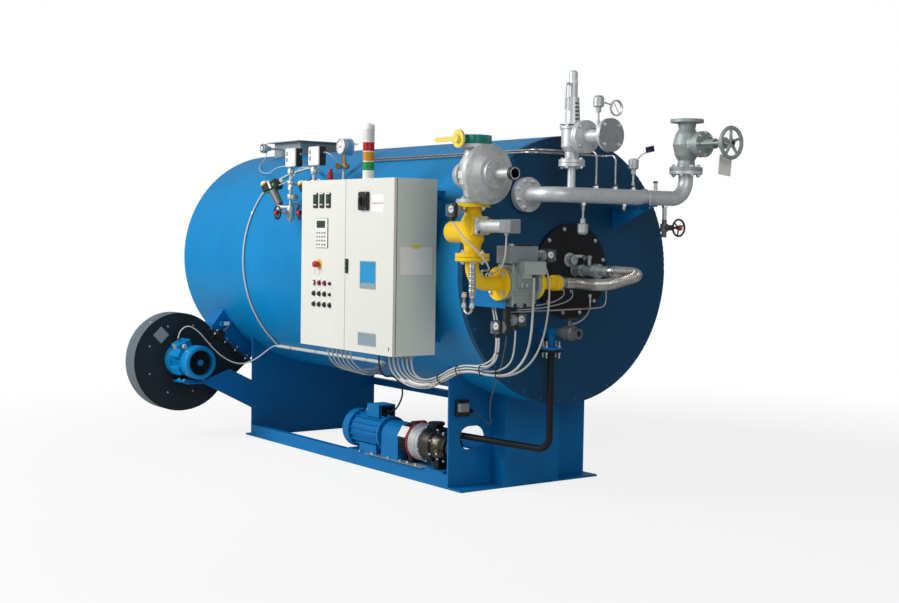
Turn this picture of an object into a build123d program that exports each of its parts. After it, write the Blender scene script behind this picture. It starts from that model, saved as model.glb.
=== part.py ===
from build123d import *
import math
import os

# Horizontal steam boiler on a steel stand, in millimetres.
# X runs forward out of the burner end, Y to the far side and Z up.
# All places are measured from the middle of the front end plate, down to the floor.
# At the end everything moves so that the origin lies on the floor under the front support.

# Boiler shell
seat = 0.3  # clearance where a curved face seats on another piece
shell_r = 800
shell_len = 3578
axis_z = 1333
shell_wall = 90
end_thick = 40
edge_round = 8

# Burner door and what it carries
door_r = 280
door_thick = 25
sight_y = -25
sight_up = 67
sight_r = 26
sight_len = 48
spark_y = 42
spark_up = 84
spark_len = 118
burner_tube_y = 14
burner_tube_up = 6
burner_tube_r = 30
burner_tube_end = 340
nut_x = 205
nut_len = 46

# Stand
stand_half = 546
plate_thick = 12
foot_thick = 12
front_plate_x = -444
front_foot_x = -310
rear_plate_x = -shell_len + 649
rear_foot_x = rear_plate_x - 92
post_half = 218
post_wall = 10
rail_h = 88
rail_w = 46
rail_wall = 6
tie_z = 340
tie_h = 50
hole_y = -(stand_half - 180)
hole_z = 303
hole_len = 192
hole_h = 142

# Flue collar on top
flue_x = -shell_len + 570.5
flue_len = 483
flue_w = 528
flue_top = axis_z + shell_r + 84
flue_lip = 44
flue_wall = 6
flue_bolt_r = 7
flue_bolt_in = 22

# Combustion fan
fan_y = -(shell_r + 250)
fan_z = axis_z - 745
fan_x = -shell_len + 478
fan_depth = 155
tongue_r = 328
spiral_end_r = 397
tongue_deg = 42
spiral_deg = 279
throat_y = fan_y + 567
throat_z = fan_z - 33
fan_lip = 24
fan_lip_thick = 8
fan_eye_r = 150
motor_r = 117
motor_len = 350

# Control cabinet
cab_x = -1270
cab_w = 1023
cab_z = 843
cab_h = 1011
cab_depth = 278
cab_wall = 4
door_seat = 0.3
door_w_gap = 5
cab_door = 18
door_skin = 3
standoff_w = 40
switch_x = -550
switch_z = 1724
switch_plate = 22

# Steam header
head_x = 268
head_z = 1775
head_y = 690
nozzle_y = -365
head_r = 44.5
elbow_r = 114
flange_r = 100
flange_thick = 20
header_rise = 57
gasket = 2
raised_r = 61
shaft_play = 0.1
stop_face = 310
stop_bore = 40
stop_bolt_circle = 160
stop_bolt_r = 9
wheel_r = 100
wheel_x = 625
relief_y = -234
relief_rise = 178
drain_y = 515
drain_z = 1599

# Gas train
gas_x = 285
gas_y = -(shell_r + 145)
gas_r = 38
gas_flange_r = 92.5
gas_flange = 20
ring_z = 2026
ring_h = 46
gas_bore = 34
stem_r = 6
stem_end = 60
lever_y = gas_y - 110
lever_thick = 14
regulator_z = 1861
shutoff_top = 1708
shutoff_bottom = 1421
elbow_z = 1276
gas_elbow_r = 95
elbow_face = -(shell_r - 50)
bracket_thick = 8
block_len = 217
hose_r = 34

# Feed water
feed_y = -207
feed_z = 985
feed_drop_x = 90
feed_flange_z = 880
feed_r = 20
feed_low_z = 285
pump_y = -(stand_half - 96)
pump_z = 232
pump_motor_r = 128
base_top = 98
pump_base_w = 196
pump_motor_x = -1612
pump_x = -985

# Level stands
stand_x = (-1845, -1545)
stand_y = -(shell_r + 50)
stand_r = 11
stand_valve_z = 1662
stand_top = 1967
wheel_out = 100

# Cables
gland_r = 9
gland_y = -940
gland_drop = 27
trunk_start = -shell_len + 966
trunk_end = cab_x + 30
trunk_r = 12
trunk_deg = -129
shell_cable_r = 7
shell_cable_x = -shell_len + 988

# Routes of the loose cables, from their start to their end, each with its radius
cords = {
    "fan_cable": (4.5, [
        (-2975, -1125, 750), (-2975, -1121, 801), (-2959, -1058, 848), (-2940, -988, 806), (-2923, -935, 741),
        (-2905, -883, 675), (-2881, -825, 617), (-2849, -759, 572), (-2806, -688, 557), (-2759, -624, 588),
        (-2717, -570, 639), (-2668, -511.2, 701.7), (-2612, -511.2, 701.7),
    ]),
    "cabinet_loop_1": (5, [
        (-1240, -506.7, 698.2), (-1170, -506.7, 698.2), (-1095, -579, 667), (-1051, -670, 649),
        (-1012, -764, 653), (-989, -858, 686), (-990, -940, 757), (-990, -940, 816),
    ]),
    "cabinet_loop_2": (5, [
        (-1240, -515.7, 705.2), (-1171, -515.7, 705.2), (-1086, -581, 691), (-1026, -662, 678),
        (-980, -753, 672), (-946, -850, 690), (-938, -940, 759), (-938, -940, 816),
    ]),
    "gas_cable_1": (5, [
        (-280, -940, 816), (-280, -940, 750), (-215, -902, 700), (-119, -858, 732), (-36, -833, 785),
        (57, -807, 812), (153, -776, 807), (250, -770, 822), (285, -764, 913), (285, -764, 979),
    ]),
    "gas_cable_2": (5, [
        (-326, -940, 816), (-326, -940, 750), (-250, -897, 697), (-147, -854, 721), (-56, -825, 771),
        (40, -798, 810), (141, -760, 808), (215, -719, 861), (217, -714, 968), (190, -709, 1073),
        (150, -703, 1173), (137, -726, 1276), (174, -801, 1340), (266, -853, 1348), (368, -886, 1350),
        (419, -957, 1405), (386, -1023, 1482), (319, -1067, 1555), (285, -1081.3, 1611),
    ]),
    "gas_cable_3": (4.5, [
        (-372, -940, 816), (-372, -940, 761), (-305, -913, 698), (-210, -881, 690), (-117, -857, 718),
        (-35, -833, 770), (58, -807, 797), (152, -772, 790), (226, -727, 829), (240, -712, 926),
        (226, -707, 1026), (188, -701, 1119), (155, -702, 1214), (163, -746, 1301), (228, -810, 1332),
        (326, -833, 1330), (419, -855, 1359), (497, -892, 1410), (561, -934, 1475), (575, -945, 1536),
    ]),
    "gas_cable_4": (5, [
        (-418, -940, 816), (-418, -940, 751), (-331, -905, 685), (-217, -869, 684), (-109, -841, 723),
        (-9, -812, 783), (103, -777, 796), (211, -730, 777), (278, -657, 823), (285, -636, 939),
        (285, -636, 1017),
    ]),
    "gas_cable_5": (6.5, [
        (-464, -940, 816), (-464, -940, 748), (-366, -911, 675), (-243, -889, 663), (-126, -860, 698),
        (-22, -830, 762), (96, -794, 782), (210, -747, 760), (312, -680, 774), (367, -624, 870),
        (390, -610, 992), (397, -608, 1118), (400, -607, 1234), (400, -607, 1312),
    ]),
    "gas_cable_6": (5.5, [
        (-510, -940, 816), (-510, -940, 750), (-426, -910, 672), (-310, -886, 650), (-193, -859, 659),
        (-89, -833, 716), (14, -803, 770), (129, -766, 774), (235, -712, 754), (304, -621, 777),
        (323, -529, 852), (330, -475, 960), (344, -458, 1079), (355, -455, 1199), (335, -443, 1315),
        (285, -433, 1371),
    ]),
    "pump_cable": (5.5, [
        (-620, -940, 816), (-620, -940, 735), (-685, -850, 674), (-753, -744, 672), (-813, -654, 619),
        (-886, -581, 557), (-975, -526, 498), (-1072, -482, 440), (-1174, -449, 384), (-1250, -445, 372),
    ]),
    "support_cable": (4, [
        (-414, -400, 470), (-404, -350, 456), (-343, -333, 418), (-276, -369, 409), (-221, -417, 435),
        (-174, -456, 483), (-127, -486, 536), (-79, -513, 592), (-30, -536, 647), (21, -556, 702),
        (74, -577, 755), (124, -601, 810), (174, -629, 862), (227, -666, 900), (278, -698, 940),
        (285, -700, 986),
    ]),
}

foot_centre = (front_plate_x - plate_thick + front_foot_x) / 2


def rod(start, end, radius):
    """Round bar from one point to another."""
    line = Vector(*end) - Vector(*start)
    return extrude(Plane(origin=start, z_dir=line) * Circle(radius), line.length)


def block(x, y, z):
    """Box between three pairs of limits."""
    size = Box(x[1] - x[0], y[1] - y[0], z[1] - z[0])
    return Pos((x[0] + x[1]) / 2, (y[0] + y[1]) / 2, (z[0] + z[1]) / 2) * size


def turned(origin, direction, profile):
    """Solid of revolution about a line, from pairs of distance along it and radius."""
    outline = [(0, profile[0][0])] + [(r, d) for d, r in profile] + [(0, profile[-1][0])]
    face = make_face(Plane.XZ * Polyline(*outline, close=True))
    return Plane(origin=origin, z_dir=direction) * revolve(face, Axis.Z)


def pipe(points, radius, bends):
    """Round tube along straight runs joined by arcs."""
    path = FilletPolyline(*points, radius=bends)
    return sweep(Plane(origin=path @ 0, z_dir=path % 0) * Circle(radius), path)


def ring_of(origin, direction, circle, count, shape, start=0):
    """Copies of a shape on a circle about a line."""
    plane = Plane(origin=origin, z_dir=direction)
    copies = PolarLocations(circle, count, start_angle=start)
    return [plane * (place * shape) for place in copies]


def gland(tip, cord, end, length=16):
    """Short sleeve at a cord's end, on the line of its last run."""
    route = cords[cord][1]
    run = (route[1], route[0]) if end == "start" else (route[-2], route[-1])
    way = (Vector(*run[1]) - Vector(*run[0])).normalized()
    return rod(tip, tuple(Vector(*tip) + way * length), gland_r)


def handwheel(origin, direction, radius, rim, hub, spokes=4):
    """Rim, spokes and hub of a valve wheel, with its face along a direction."""
    plane = Plane(origin=origin, z_dir=direction)
    wheel = revolve(Plane.XZ * (Pos(radius - rim, 0, 0) * RegularPolygon(rim, 8)), Axis.Z)
    wheel += Cylinder(hub, rim * 2.4)
    for spoke in PolarLocations(0, spokes, start_angle=20):
        wheel += spoke * rod((0, 0, 0), (radius - rim, 0, 0), rim * 0.6)
    return plane * wheel


def saddle(shape):
    """Cut a piece so that it seats under or on the round shell."""
    return shape - rod((-shell_len, 0, axis_z), (0, 0, axis_z), shell_r + seat)


def boiler_shell():
    front = -end_thick
    rear = -shell_len + end_thick
    tube = rod((rear, 0, axis_z), (front, 0, axis_z), shell_r)
    tube -= rod((rear, 0, axis_z), (front, 0, axis_z), shell_r - shell_wall)
    half_l = flue_len / 2 - flue_lip - flue_wall
    half_w = flue_w / 2 - flue_lip - flue_wall
    way = block((flue_x - half_l, flue_x + half_l), (-half_w, half_w), (axis_z, flue_top))
    return tube - way


def end_plate(inner, outer):
    """Round end of the shell, with its rim rounded on the outside."""
    disc = rod((inner, 0, axis_z), (outer, 0, axis_z), shell_r)
    rim = disc.edges().filter_by(GeomType.CIRCLE).sort_by(Axis.X)
    side = rim[-1] if outer > inner else rim[0]
    return fillet(side, edge_round)


def burner_door():
    door = rod((0, 0, axis_z), (door_thick, 0, axis_z), door_r)
    return chamfer(door.edges().filter_by(GeomType.CIRCLE).sort_by(Axis.X)[-1], 4)


def burner_fittings():
    face = door_thick
    sight_z = axis_z + sight_up
    sight = rod((face, sight_y, sight_z), (face + sight_len, sight_y, sight_z), sight_r)
    sight_end = (face + sight_len, sight_y, sight_z)
    sight -= rod((face + sight_len - 12, sight_y, sight_z), sight_end, sight_r - 7)
    spark_z = axis_z + spark_up
    spark = rod((face, spark_y, spark_z), (face + spark_len, spark_y, spark_z), 8)
    cap_x = face + spark_len - 14
    spark += rod((cap_x, spark_y, spark_z + 10), (cap_x, spark_y, spark_z - 46), 11)
    tube_z = axis_z + burner_tube_up
    tube = rod((face, burner_tube_y, tube_z), (burner_tube_end, burner_tube_y, tube_z), burner_tube_r)
    nut = extrude(
        Plane(origin=(nut_x, burner_tube_y, tube_z), x_dir=(0, 1, 0), z_dir=(1, 0, 0))
        * RegularPolygon(burner_tube_r + 12, 8),
        nut_len,
    )
    return [sight, spark, tube + nut]


def cross_plate(face, back):
    """Plate across the stand whose top edge follows the shell."""
    plate = block((back, face), (-stand_half, stand_half), (foot_thick, axis_z))
    top = axis_z - math.sqrt(shell_r**2 - stand_half**2)
    plate = saddle(plate) & block((back, face), (-stand_half, stand_half), (0, top))
    return plate


def post(x0, x1, closed):
    """Box post against the cross plate, open towards the plate."""
    outer = block((x0, x1), (-post_half, post_half), (foot_thick, axis_z - 500))
    y = post_half - post_wall
    inner = block(closed, (-y, y), (foot_thick, axis_z))
    return saddle(outer - inner)


def front_support():
    back = front_plate_x - plate_thick
    plate = cross_plate(front_plate_x, back)
    slot = SlotOverall(hole_len, hole_h)
    plate -= extrude(Plane(origin=(back - 1, hole_y, hole_z), x_dir=(0, 1, 0), z_dir=(1, 0, 0)) * slot, plate_thick + 2)
    box = post(front_plate_x, front_foot_x, (front_plate_x, front_foot_x - post_wall))
    foot = block((back, front_foot_x), (-stand_half, stand_half), (0, foot_thick))
    return plate + box + foot


def fan_arm():
    """Inclined plate from the rear support that carries the motor foot."""
    web = [
        (-stand_half, fan_z - 373),
        (-stand_half, fan_z - 167),
        (fan_y + 320, fan_z - 76),
        (fan_y + 190, fan_z - 118),
        (fan_y + 120, fan_z - 149),
        (fan_y - 60, fan_z - 149),
        (fan_y - 60, fan_z - 161),
        (fan_y + 88, fan_z - 161),
    ]
    x0 = rear_plate_x - plate_thick
    plate = yz_prism(web, x0, rear_plate_x)
    seat_z = fan_z - motor_r - 32
    shelf = block((fan_x + 6, fan_x + 260), (fan_y - 60, fan_y + 60), (seat_z - 12, seat_z))
    return plate + shelf


def rear_support():
    back = rear_plate_x - plate_thick
    plate = cross_plate(rear_plate_x, back)
    box = post(rear_foot_x, back, (rear_foot_x + post_wall, back))
    foot = block((rear_foot_x, rear_plate_x), (-stand_half, stand_half), (0, foot_thick))
    return plate + box + foot + fan_arm()


def base_rails():
    """Two side channels, the pump's base plate on one of them, and the tie beam."""
    x0 = rear_plate_x
    x1 = front_plate_x - plate_thick
    rails = []
    for side in (-1, 1):
        web = sorted((side * stand_half, side * (stand_half - rail_w)))
        hollow = sorted((side * (stand_half - rail_wall), side * (stand_half - rail_w - 1)))
        channel = block((x0, x1), web, (0, rail_h))
        rails.append(channel - block((x0, x1), hollow, (rail_wall, rail_h - rail_wall)))
    tie = block((x0, x1), (stand_half - rail_w, stand_half), (tie_z, tie_z + tie_h))
    plate = block((-1600, -500), (-stand_half, -stand_half + pump_base_w), (rail_h, base_top))
    return [rails[0] + plate, rails[1], tie]


def flue_collar():
    half_l = flue_len / 2
    half_w = flue_w / 2
    low = axis_z + shell_r - 60
    lip = block((flue_x - half_l, flue_x + half_l), (-half_w, half_w), (flue_top - flue_wall, flue_top))
    box_l = half_l - flue_lip
    box_w = half_w - flue_lip
    box = block((flue_x - box_l, flue_x + box_l), (-box_w, box_w), (low - 40, flue_top))
    in_l = box_l - flue_wall
    in_w = box_w - flue_wall
    way = block((flue_x - in_l, flue_x + in_l), (-in_w, in_w), (low - 41, flue_top))
    hole = rod((0, 0, flue_top - flue_wall), (0, 0, flue_top), flue_bolt_r)
    collar = lip + box - way
    bolt_l = half_l - flue_bolt_in
    bolt_w = half_w - flue_bolt_in
    for x in (-bolt_l, 0, bolt_l):
        for y in (-bolt_w, 0, bolt_w):
            if x or y:
                collar -= Pos(flue_x + x, y, 0) * hole
    return saddle(collar)


def tongue():
    """Corner of the fan throat where the spiral starts."""
    angle = math.radians(tongue_deg)
    return (fan_y + tongue_r * math.cos(angle), fan_z + tongue_r * math.sin(angle))


def spiral(step):
    """Point on the fan's spiral, a share of the way round."""
    angle = math.radians(tongue_deg + spiral_deg * step)
    radius = tongue_r * (spiral_end_r / tongue_r) ** step
    return (fan_y + radius * math.cos(angle), fan_z + radius * math.sin(angle))


def throat_strip(near, far):
    """Outline of a band along the fan throat, between two distances out of it."""
    a = Vector(*tongue())
    b = Vector(throat_y, throat_z)
    along = (b - a).normalized()
    out = Vector(-along.Y, along.X)
    ends = (a, b + along * fan_lip)
    return [
        tuple(p + out * d)[:2]
        for p, d in ((ends[0], near), (ends[1], near), (ends[1], far), (ends[0], far))
    ]


def yz_prism(points, x0, x1):
    """Straight-sided prism along X from an outline in Y and Z."""
    face = make_face(Polyline(*points, close=True))
    return Plane(origin=(x0, 0, 0), x_dir=(0, 1, 0), z_dir=(1, 0, 0)) * extrude(face, x1 - x0)


def fan_housing():
    rear = fan_x - fan_depth
    steps = 9
    curve = Spline(*[spiral(i / steps) for i in range(steps + 1)])
    close = Polyline(spiral(1), (throat_y, throat_z), tongue())
    face = make_face(curve + close)
    plane = Plane(origin=(rear, 0, 0), x_dir=(0, 1, 0), z_dir=(1, 0, 0))
    volute = plane * extrude(face, fan_depth)
    lip = yz_prism(throat_strip(-fan_lip_thick, 0), rear - fan_lip, fan_x + fan_lip)
    eye = rod((rear - 30, fan_y, fan_z), (rear, fan_y, fan_z), fan_eye_r)
    eye -= rod((rear - 30, fan_y, fan_z), (rear - 15, fan_y, fan_z), fan_eye_r - 12)
    return volute + lip + eye


def fan_duct():
    rear = fan_x - fan_depth
    lip = yz_prism(throat_strip(0, fan_lip_thick), rear - fan_lip, fan_x + fan_lip)
    a = Vector(*tongue())
    b = Vector(throat_y, throat_z)
    along = (b - a).normalized()
    out = Vector(-along.Y, along.X) * 330
    outline = [tuple(a)[:2], tuple(b)[:2], tuple(b + out)[:2], tuple(a + out)[:2]]
    duct = yz_prism(outline, rear, fan_x)
    return saddle(lip + duct)


def fan_motor():
    end = fan_x + motor_len
    body = turned(
        (fan_x, fan_y, fan_z),
        (1, 0, 0),
        [(0, 105), (14, 105), (30, 96), (motor_len - 92, 96), (motor_len - 90, motor_r), (motor_len - 12, motor_r), (motor_len, 104)],
    )
    fin = Pos(0, 0, motor_len / 2 - 30) * Box(2 * motor_r - 8, 5, motor_len - 130)
    plane = Plane(origin=(fan_x, fan_y, fan_z), z_dir=(1, 0, 0))
    for turn in range(0, 180, 20):
        body += plane * (Rot(0, 0, turn) * fin)
    box = block((fan_x + 60, fan_x + 190), (fan_y - 95, fan_y + 15), (fan_z + 80, fan_z + 150))
    foot = block((fan_x + 120, end - 110), (fan_y - 60, fan_y + 60), (fan_z - motor_r - 32, fan_z - 60))
    inlet = gland((fan_x + 125, fan_y - 75, fan_z + 162), "fan_cable", "start")
    return body + box + foot + inlet


def cabinet_body():
    x1 = cab_x + cab_w
    back = -shell_r - seat
    front = back - cab_depth
    body = block((cab_x, x1), (front, back), (cab_z, cab_z + cab_h))
    w = cab_wall
    body -= block((cab_x + w, x1 - w), (front - 1, back - w), (cab_z + w, cab_z + cab_h - w))
    rim = 18
    frame = block((cab_x, x1), (front, front + 3), (cab_z, cab_z + cab_h))
    frame -= block((cab_x + rim, x1 - rim), (front, front + 3), (cab_z + rim, cab_z + cab_h - rim))
    body += frame
    for cord, (_, route) in cords.items():
        if cord not in ("fan_cable", "support_cable"):
            x = route[-1][0] if "loop" in cord else route[0][0]
            body += rod((x, gland_y, cab_z), (x, gland_y, cab_z - gland_drop), gland_r)
    return body


def cabinet_standoffs():
    """Brackets from the cabinet's back to the shell, above and below its middle."""
    back = -shell_r - seat
    pieces = []
    for x in (cab_x + 120, cab_x + cab_w - 120 - standoff_w):
        for z in (cab_z + 60, cab_z + cab_h - 100):
            pieces.append(saddle(block((x, x + standoff_w), (back, 0), (z, z + standoff_w))))
    return pieces


def cabinet_front():
    return -shell_r - seat - cab_depth - door_seat


def cabinet_door(x0, x1):
    """Folded sheet door, open at the back."""
    face = cabinet_front()
    door = block((x0, x1), (face - cab_door, face), (cab_z, cab_z + cab_h))
    s = door_skin
    door -= block((x0 + s, x1 - s), (face - cab_door + s, face + 1), (cab_z + s, cab_z + cab_h - s))
    return door


def door_split():
    return cab_x + cab_w / 2


def left_door_controls():
    face = cabinet_front() - cab_door
    pieces = []
    for x in (-1108, -1034, -958):
        pieces.append(block((x - 24, x + 24), (face - 12, face), (1686, 1778)))
    pieces.append(block((-1100, -958), (face - 14, face), (1443, 1625)))
    for row, z in enumerate((1230, 1164, 1099)):
        for x in (-1118, -1056, -994, -932):
            if row or x != -932:
                pieces.append(rod((x, face, z), (x, face - 16, z), 15))
    pieces.append(rod((-932, face, 1230), (-932, face - 12, 1230), 9))
    pieces.append(rod((-1071, face, 1344), (-1071, face - 8, 1344), 32) + rod((-1071, face, 1344), (-1071, face - 38, 1344), 20))
    return pieces


def right_door_controls():
    face = cabinet_front() - cab_door
    switch = block((switch_x - 50, switch_x + 50), (face - switch_plate, face), (switch_z - 54, switch_z + 54))
    lock = block((door_split() + 22, door_split() + 46), (face - 14, face), (1300, 1400))
    return [switch, lock]


def main_switch_handle():
    """Knob and grip of the main switch."""
    face = cabinet_front() - cab_door - switch_plate - seat
    knob = rod((switch_x, face, switch_z), (switch_x, face - 8, switch_z), 30)
    return knob + block((switch_x - 9, switch_x + 9), (face - 24, face), (switch_z - 29, switch_z + 29))


def signal_tower():
    x = -744
    y = -950
    base = cab_z + cab_h
    return turned((x, y, base), (0, 0, 1), [(0, 42), (10, 42), (12, 34), (62, 34), (62, 35), (318, 35), (318, 34), (338, 30)])


def steam_header():
    top = head_z + elbow_r + header_rise - gasket / 2
    x = (0, 34 + flange_thick)
    points = [(x[0], nozzle_y, head_z), (head_x, nozzle_y, head_z), (head_x, head_y, head_z), (head_x, head_y, top)]
    run = pipe(points, head_r, [elbow_r, elbow_r])
    for near in (12, 12 + flange_thick + gasket):
        run += rod((near, nozzle_y, head_z), (near + flange_thick, nozzle_y, head_z), flange_r)
    run += rod((head_x, head_y, top - flange_thick), (head_x, head_y, top), flange_r)
    run += rod((head_x, head_y, top), (head_x, head_y, top + gasket), raised_r)
    relief_top = head_z + relief_rise
    run += rod((head_x, relief_y, head_z), (head_x, relief_y, relief_top), 22)
    run += rod((head_x, relief_y, relief_top - 18), (head_x, relief_y, relief_top), 75)
    run += rod((head_x, relief_y, relief_top), (head_x, relief_y, relief_top + gasket), 44)
    for y, height in ((-44, 62), (106, 66), (250, 64), (435, 92)):
        run += rod((head_x, y, head_z), (head_x, y, head_z + height), 11)
    for y, height in ((-140, 62), (179, 74)):
        run += rod((head_x, y, head_z), (head_x, y, head_z - height), 10)
    run += rod((head_x, drain_y, head_z), (head_x, drain_y, head_z - 128), 13)
    return run


def header_bracket():
    y = 343
    top = head_z - head_r - seat
    plate = block((0, 350), (y - 30, y + 30), (top - 10, top))
    web = Plane(origin=(0, y + 5, 0), x_dir=(1, 0, 0), z_dir=(0, -1, 0)) * extrude(
        make_face(Polyline((0, top - 10), (340, top - 10), (0, top - 150), close=True)), 10
    )
    return plate + web


def stop_valve_base():
    return head_z + elbow_r + header_rise + gasket / 2


def stop_valve():
    """Straight globe valve, upright, with its bonnet facing forward."""
    z0 = stop_valve_base()
    mid = stop_face / 2
    spot = (head_x, head_y, z0)
    thick = flange_thick
    body = turned(
        spot,
        (0, 0, 1),
        [(0, flange_r), (thick, flange_r), (thick + 1, 56), (60, 50), (90, 68), (mid, 84),
         (stop_face - 90, 68), (stop_face - 60, 50), (stop_face - thick - 1, 56),
         (stop_face - thick, flange_r), (stop_face, flange_r)],
    )
    bonnet = turned(
        (head_x, head_y, z0 + mid),
        (1, 0, 0),
        [(0, 60), (110, 60), (111, 78), (150, 78), (151, 40), (175, 30), (215, 24), (216, 30), (235, 30), (236, 14), (wheel_x - head_x, 14)],
    )
    arms = [
        rod((head_x + 140, head_y + s * 52, z0 + mid), (head_x + 290, head_y + s * 26, z0 + mid), 9) for s in (-1, 1)
    ]
    yoke = rod((head_x + 280, head_y, z0 + mid), (head_x + 312, head_y, z0 + mid), 34)
    valve = body + bonnet + arms + yoke
    valve -= rod((head_x, head_y, z0 + stop_face - 120), (head_x, head_y, z0 + stop_face), stop_bore)
    hole = Pos(0, 0, -flange_thick) * Cylinder(stop_bolt_r, flange_thick, align=(Align.CENTER, Align.CENTER, Align.MIN))
    for cut in ring_of((head_x, head_y, z0 + stop_face), (0, 0, 1), stop_bolt_circle / 2, 8, hole, 22.5):
        valve -= cut
    return valve


def stop_valve_wheel():
    z = stop_valve_base() + stop_face / 2
    wheel = handwheel((wheel_x, head_y, z), (1, 0, 0), wheel_r, 9, 22, 5)
    return wheel - rod((wheel_x - 40, head_y, z), (wheel_x + seat, head_y, z), 14 + shaft_play)


def safety_valve():
    """Spring safety valve with an open bonnet, lever and side outlet."""
    z0 = head_z + relief_rise + gasket
    spot = (head_x, relief_y, z0)
    body = turned(
        spot,
        (0, 0, 1),
        [(0, 75), (18, 75), (19, 40), (60, 40), (90, 62), (190, 62), (191, 72), (206, 72), (207, 44), (370, 36),
         (371, 26), (450, 26), (462, 24), (512, 24), (520, 16)],
    )
    outlet_z = z0 + 143
    body += rod((head_x, relief_y, outlet_z), (head_x + 90, relief_y, outlet_z), 42)
    body += rod((head_x + 90, relief_y, outlet_z), (head_x + 108, relief_y, outlet_z), gas_flange_r)
    body += rod((head_x + 108, relief_y, outlet_z), (head_x + 108 + gasket, relief_y, outlet_z), raised_r)
    slots = 6
    for i in range(slots):
        z = z0 + 224 + i * 22
        body -= Pos(head_x, relief_y, z) * Box(120, 30, 11)
    core = rod((head_x, relief_y, z0 + 207), (head_x, relief_y, z0 + 370), 16)
    lever = block((head_x - 8, head_x + 8), (relief_y - 52, relief_y - 26), (z0 + 440, z0 + 452))
    lever += rod((head_x, relief_y - 52, z0 + 446), (head_x, relief_y - 60, z0 + 300), 6)
    return body + core + lever


def safety_outlet():
    z = head_z + relief_rise + gasket + 143
    x0 = head_x + 108 + gasket
    x1 = x0 + 210
    spool = rod((x0, relief_y, z), (x1, relief_y, z), 38)
    spool += rod((x0, relief_y, z), (x0 + 18, relief_y, z), gas_flange_r)
    spool += rod((x1 - 20, relief_y, z), (x1, relief_y, z), gas_flange_r)
    spool += rod((x0 + 105, relief_y, z), (x0 + 105, relief_y, z + 60), 11)
    return spool


def sensor_head(x, y, z, up):
    """Connection head of a temperature sensor on its stem."""
    s = 1 if up else -1
    return turned((x, y, z), (0, 0, s), [(0, 10), (24, 10), (25, 6), (70, 6), (71, 14), (96, 16), (104, 30), (150, 30), (162, 20)])


def header_sensors():
    outlet_z = head_z + relief_rise + gasket + 143
    heads = [sensor_head(head_x, 250, head_z + 64, True)]
    heads.append(sensor_head(head_x, -140, head_z - 62, False))
    heads.append(sensor_head(head_x + 108 + gasket + 105, relief_y, outlet_z + 60, True))
    return heads


def impulse_tubes():
    """Two thin tubes along the shell and down to the header stubs."""
    tubes = []
    for n, (y_end, drop, degrees) in enumerate(((-44, 62, 121), (106, 66, 123))):
        around = shell_r + 9
        y = around * math.cos(math.radians(degrees))
        z = axis_z + around * math.sin(math.radians(degrees))
        x = 186 - n * 18
        route = [(-1560, y, z), (x, y, z), (x, y_end, z), (head_x, y_end, z), (head_x, y_end, head_z + drop)]
        tubes.append(pipe(route, 6, [60, 30, 30]))
    return tubes


def drain_valve():
    y = drain_y
    top = head_z - 128
    z = drain_z
    body = rod((head_x, y, top), (head_x, y, z - 58), 15)
    body += rod((head_x, y, z - 24), (head_x, y, z + 24), 24)
    body += rod((head_x, y, z), (head_x + 60, y, z), 17)
    body += rod((head_x + 60, y, z), (head_x + 120, y, z), 8)
    return body


def drain_wheel():
    spot = (head_x + 120, drain_y, drain_z)
    wheel = handwheel(spot, (1, 0, 0), 55, 6, 13, 3)
    return wheel - rod((head_x + 100, drain_y, drain_z), (spot[0] + seat, drain_y, drain_z), 8 + shaft_play)


def gas_inlet_valve():
    """Butterfly valve ring between the regulator flange and the supply, with its stem neck."""
    ring = rod((gas_x, gas_y, ring_z), (gas_x, gas_y, ring_z + ring_h), 82)
    z = ring_z + ring_h / 2
    ring += rod((gas_x, gas_y - 60, z), (gas_x, lever_y + lever_thick, z), 15)
    ring -= rod((gas_x, gas_y, ring_z), (gas_x, gas_y, ring_z + ring_h), gas_bore)
    return ring - rod((gas_x, lever_y, z), (gas_x, gas_y + stem_end + seat, z), stem_r + shaft_play)


def gas_lever():
    """Lever with its index disc, and the stem and butterfly that turn with it inside the ring."""
    z = ring_z + ring_h / 2
    y = lever_y + lever_thick - seat
    lever = rod((gas_x, lever_y, z), (gas_x, y, z), 48)
    lever += block((gas_x - 190, gas_x), (lever_y - 14, lever_y), (z - 12, z + 12))
    lever += rod((gas_x, lever_y - 18, z), (gas_x, lever_y, z), 22)
    lever += rod((gas_x, lever_y, z), (gas_x, gas_y + stem_end, z), stem_r)
    return lever + rod((gas_x, gas_y, z - 3), (gas_x, gas_y, z + 3), gas_bore - 1)


def gas_regulator():
    """Gas pressure regulator with its diaphragm casing facing forward."""
    low = shutoff_top + gasket
    spot = (gas_x, gas_y, low)
    top = ring_z - low - gasket
    body = turned(
        spot,
        (0, 0, 1),
        [(0, gas_flange_r), (gas_flange, gas_flange_r), (gas_flange + 1, 48), (70, 56), (100, 78), (top - 100, 78),
         (top - 60, 56), (top - gas_flange - 1, 48), (top - gas_flange, gas_flange_r), (top, gas_flange_r),
         (top, raised_r), (top + gasket, raised_r)],
    )
    casing = turned(
        (gas_x, gas_y, regulator_z),
        (1, 0, 0),
        [(0, 70), (76, 70), (108, 148), (112, 160), (136, 160), (142, 150), (160, 132), (182, 96), (184, 80), (204, 78),
         (205, 27), (320, 27), (322, 32), (352, 32)],
    )
    well = rod((gas_x, gas_y, ring_z - 40), (gas_x, gas_y, ring_z), gas_bore + 2)
    return body + casing - well


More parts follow.
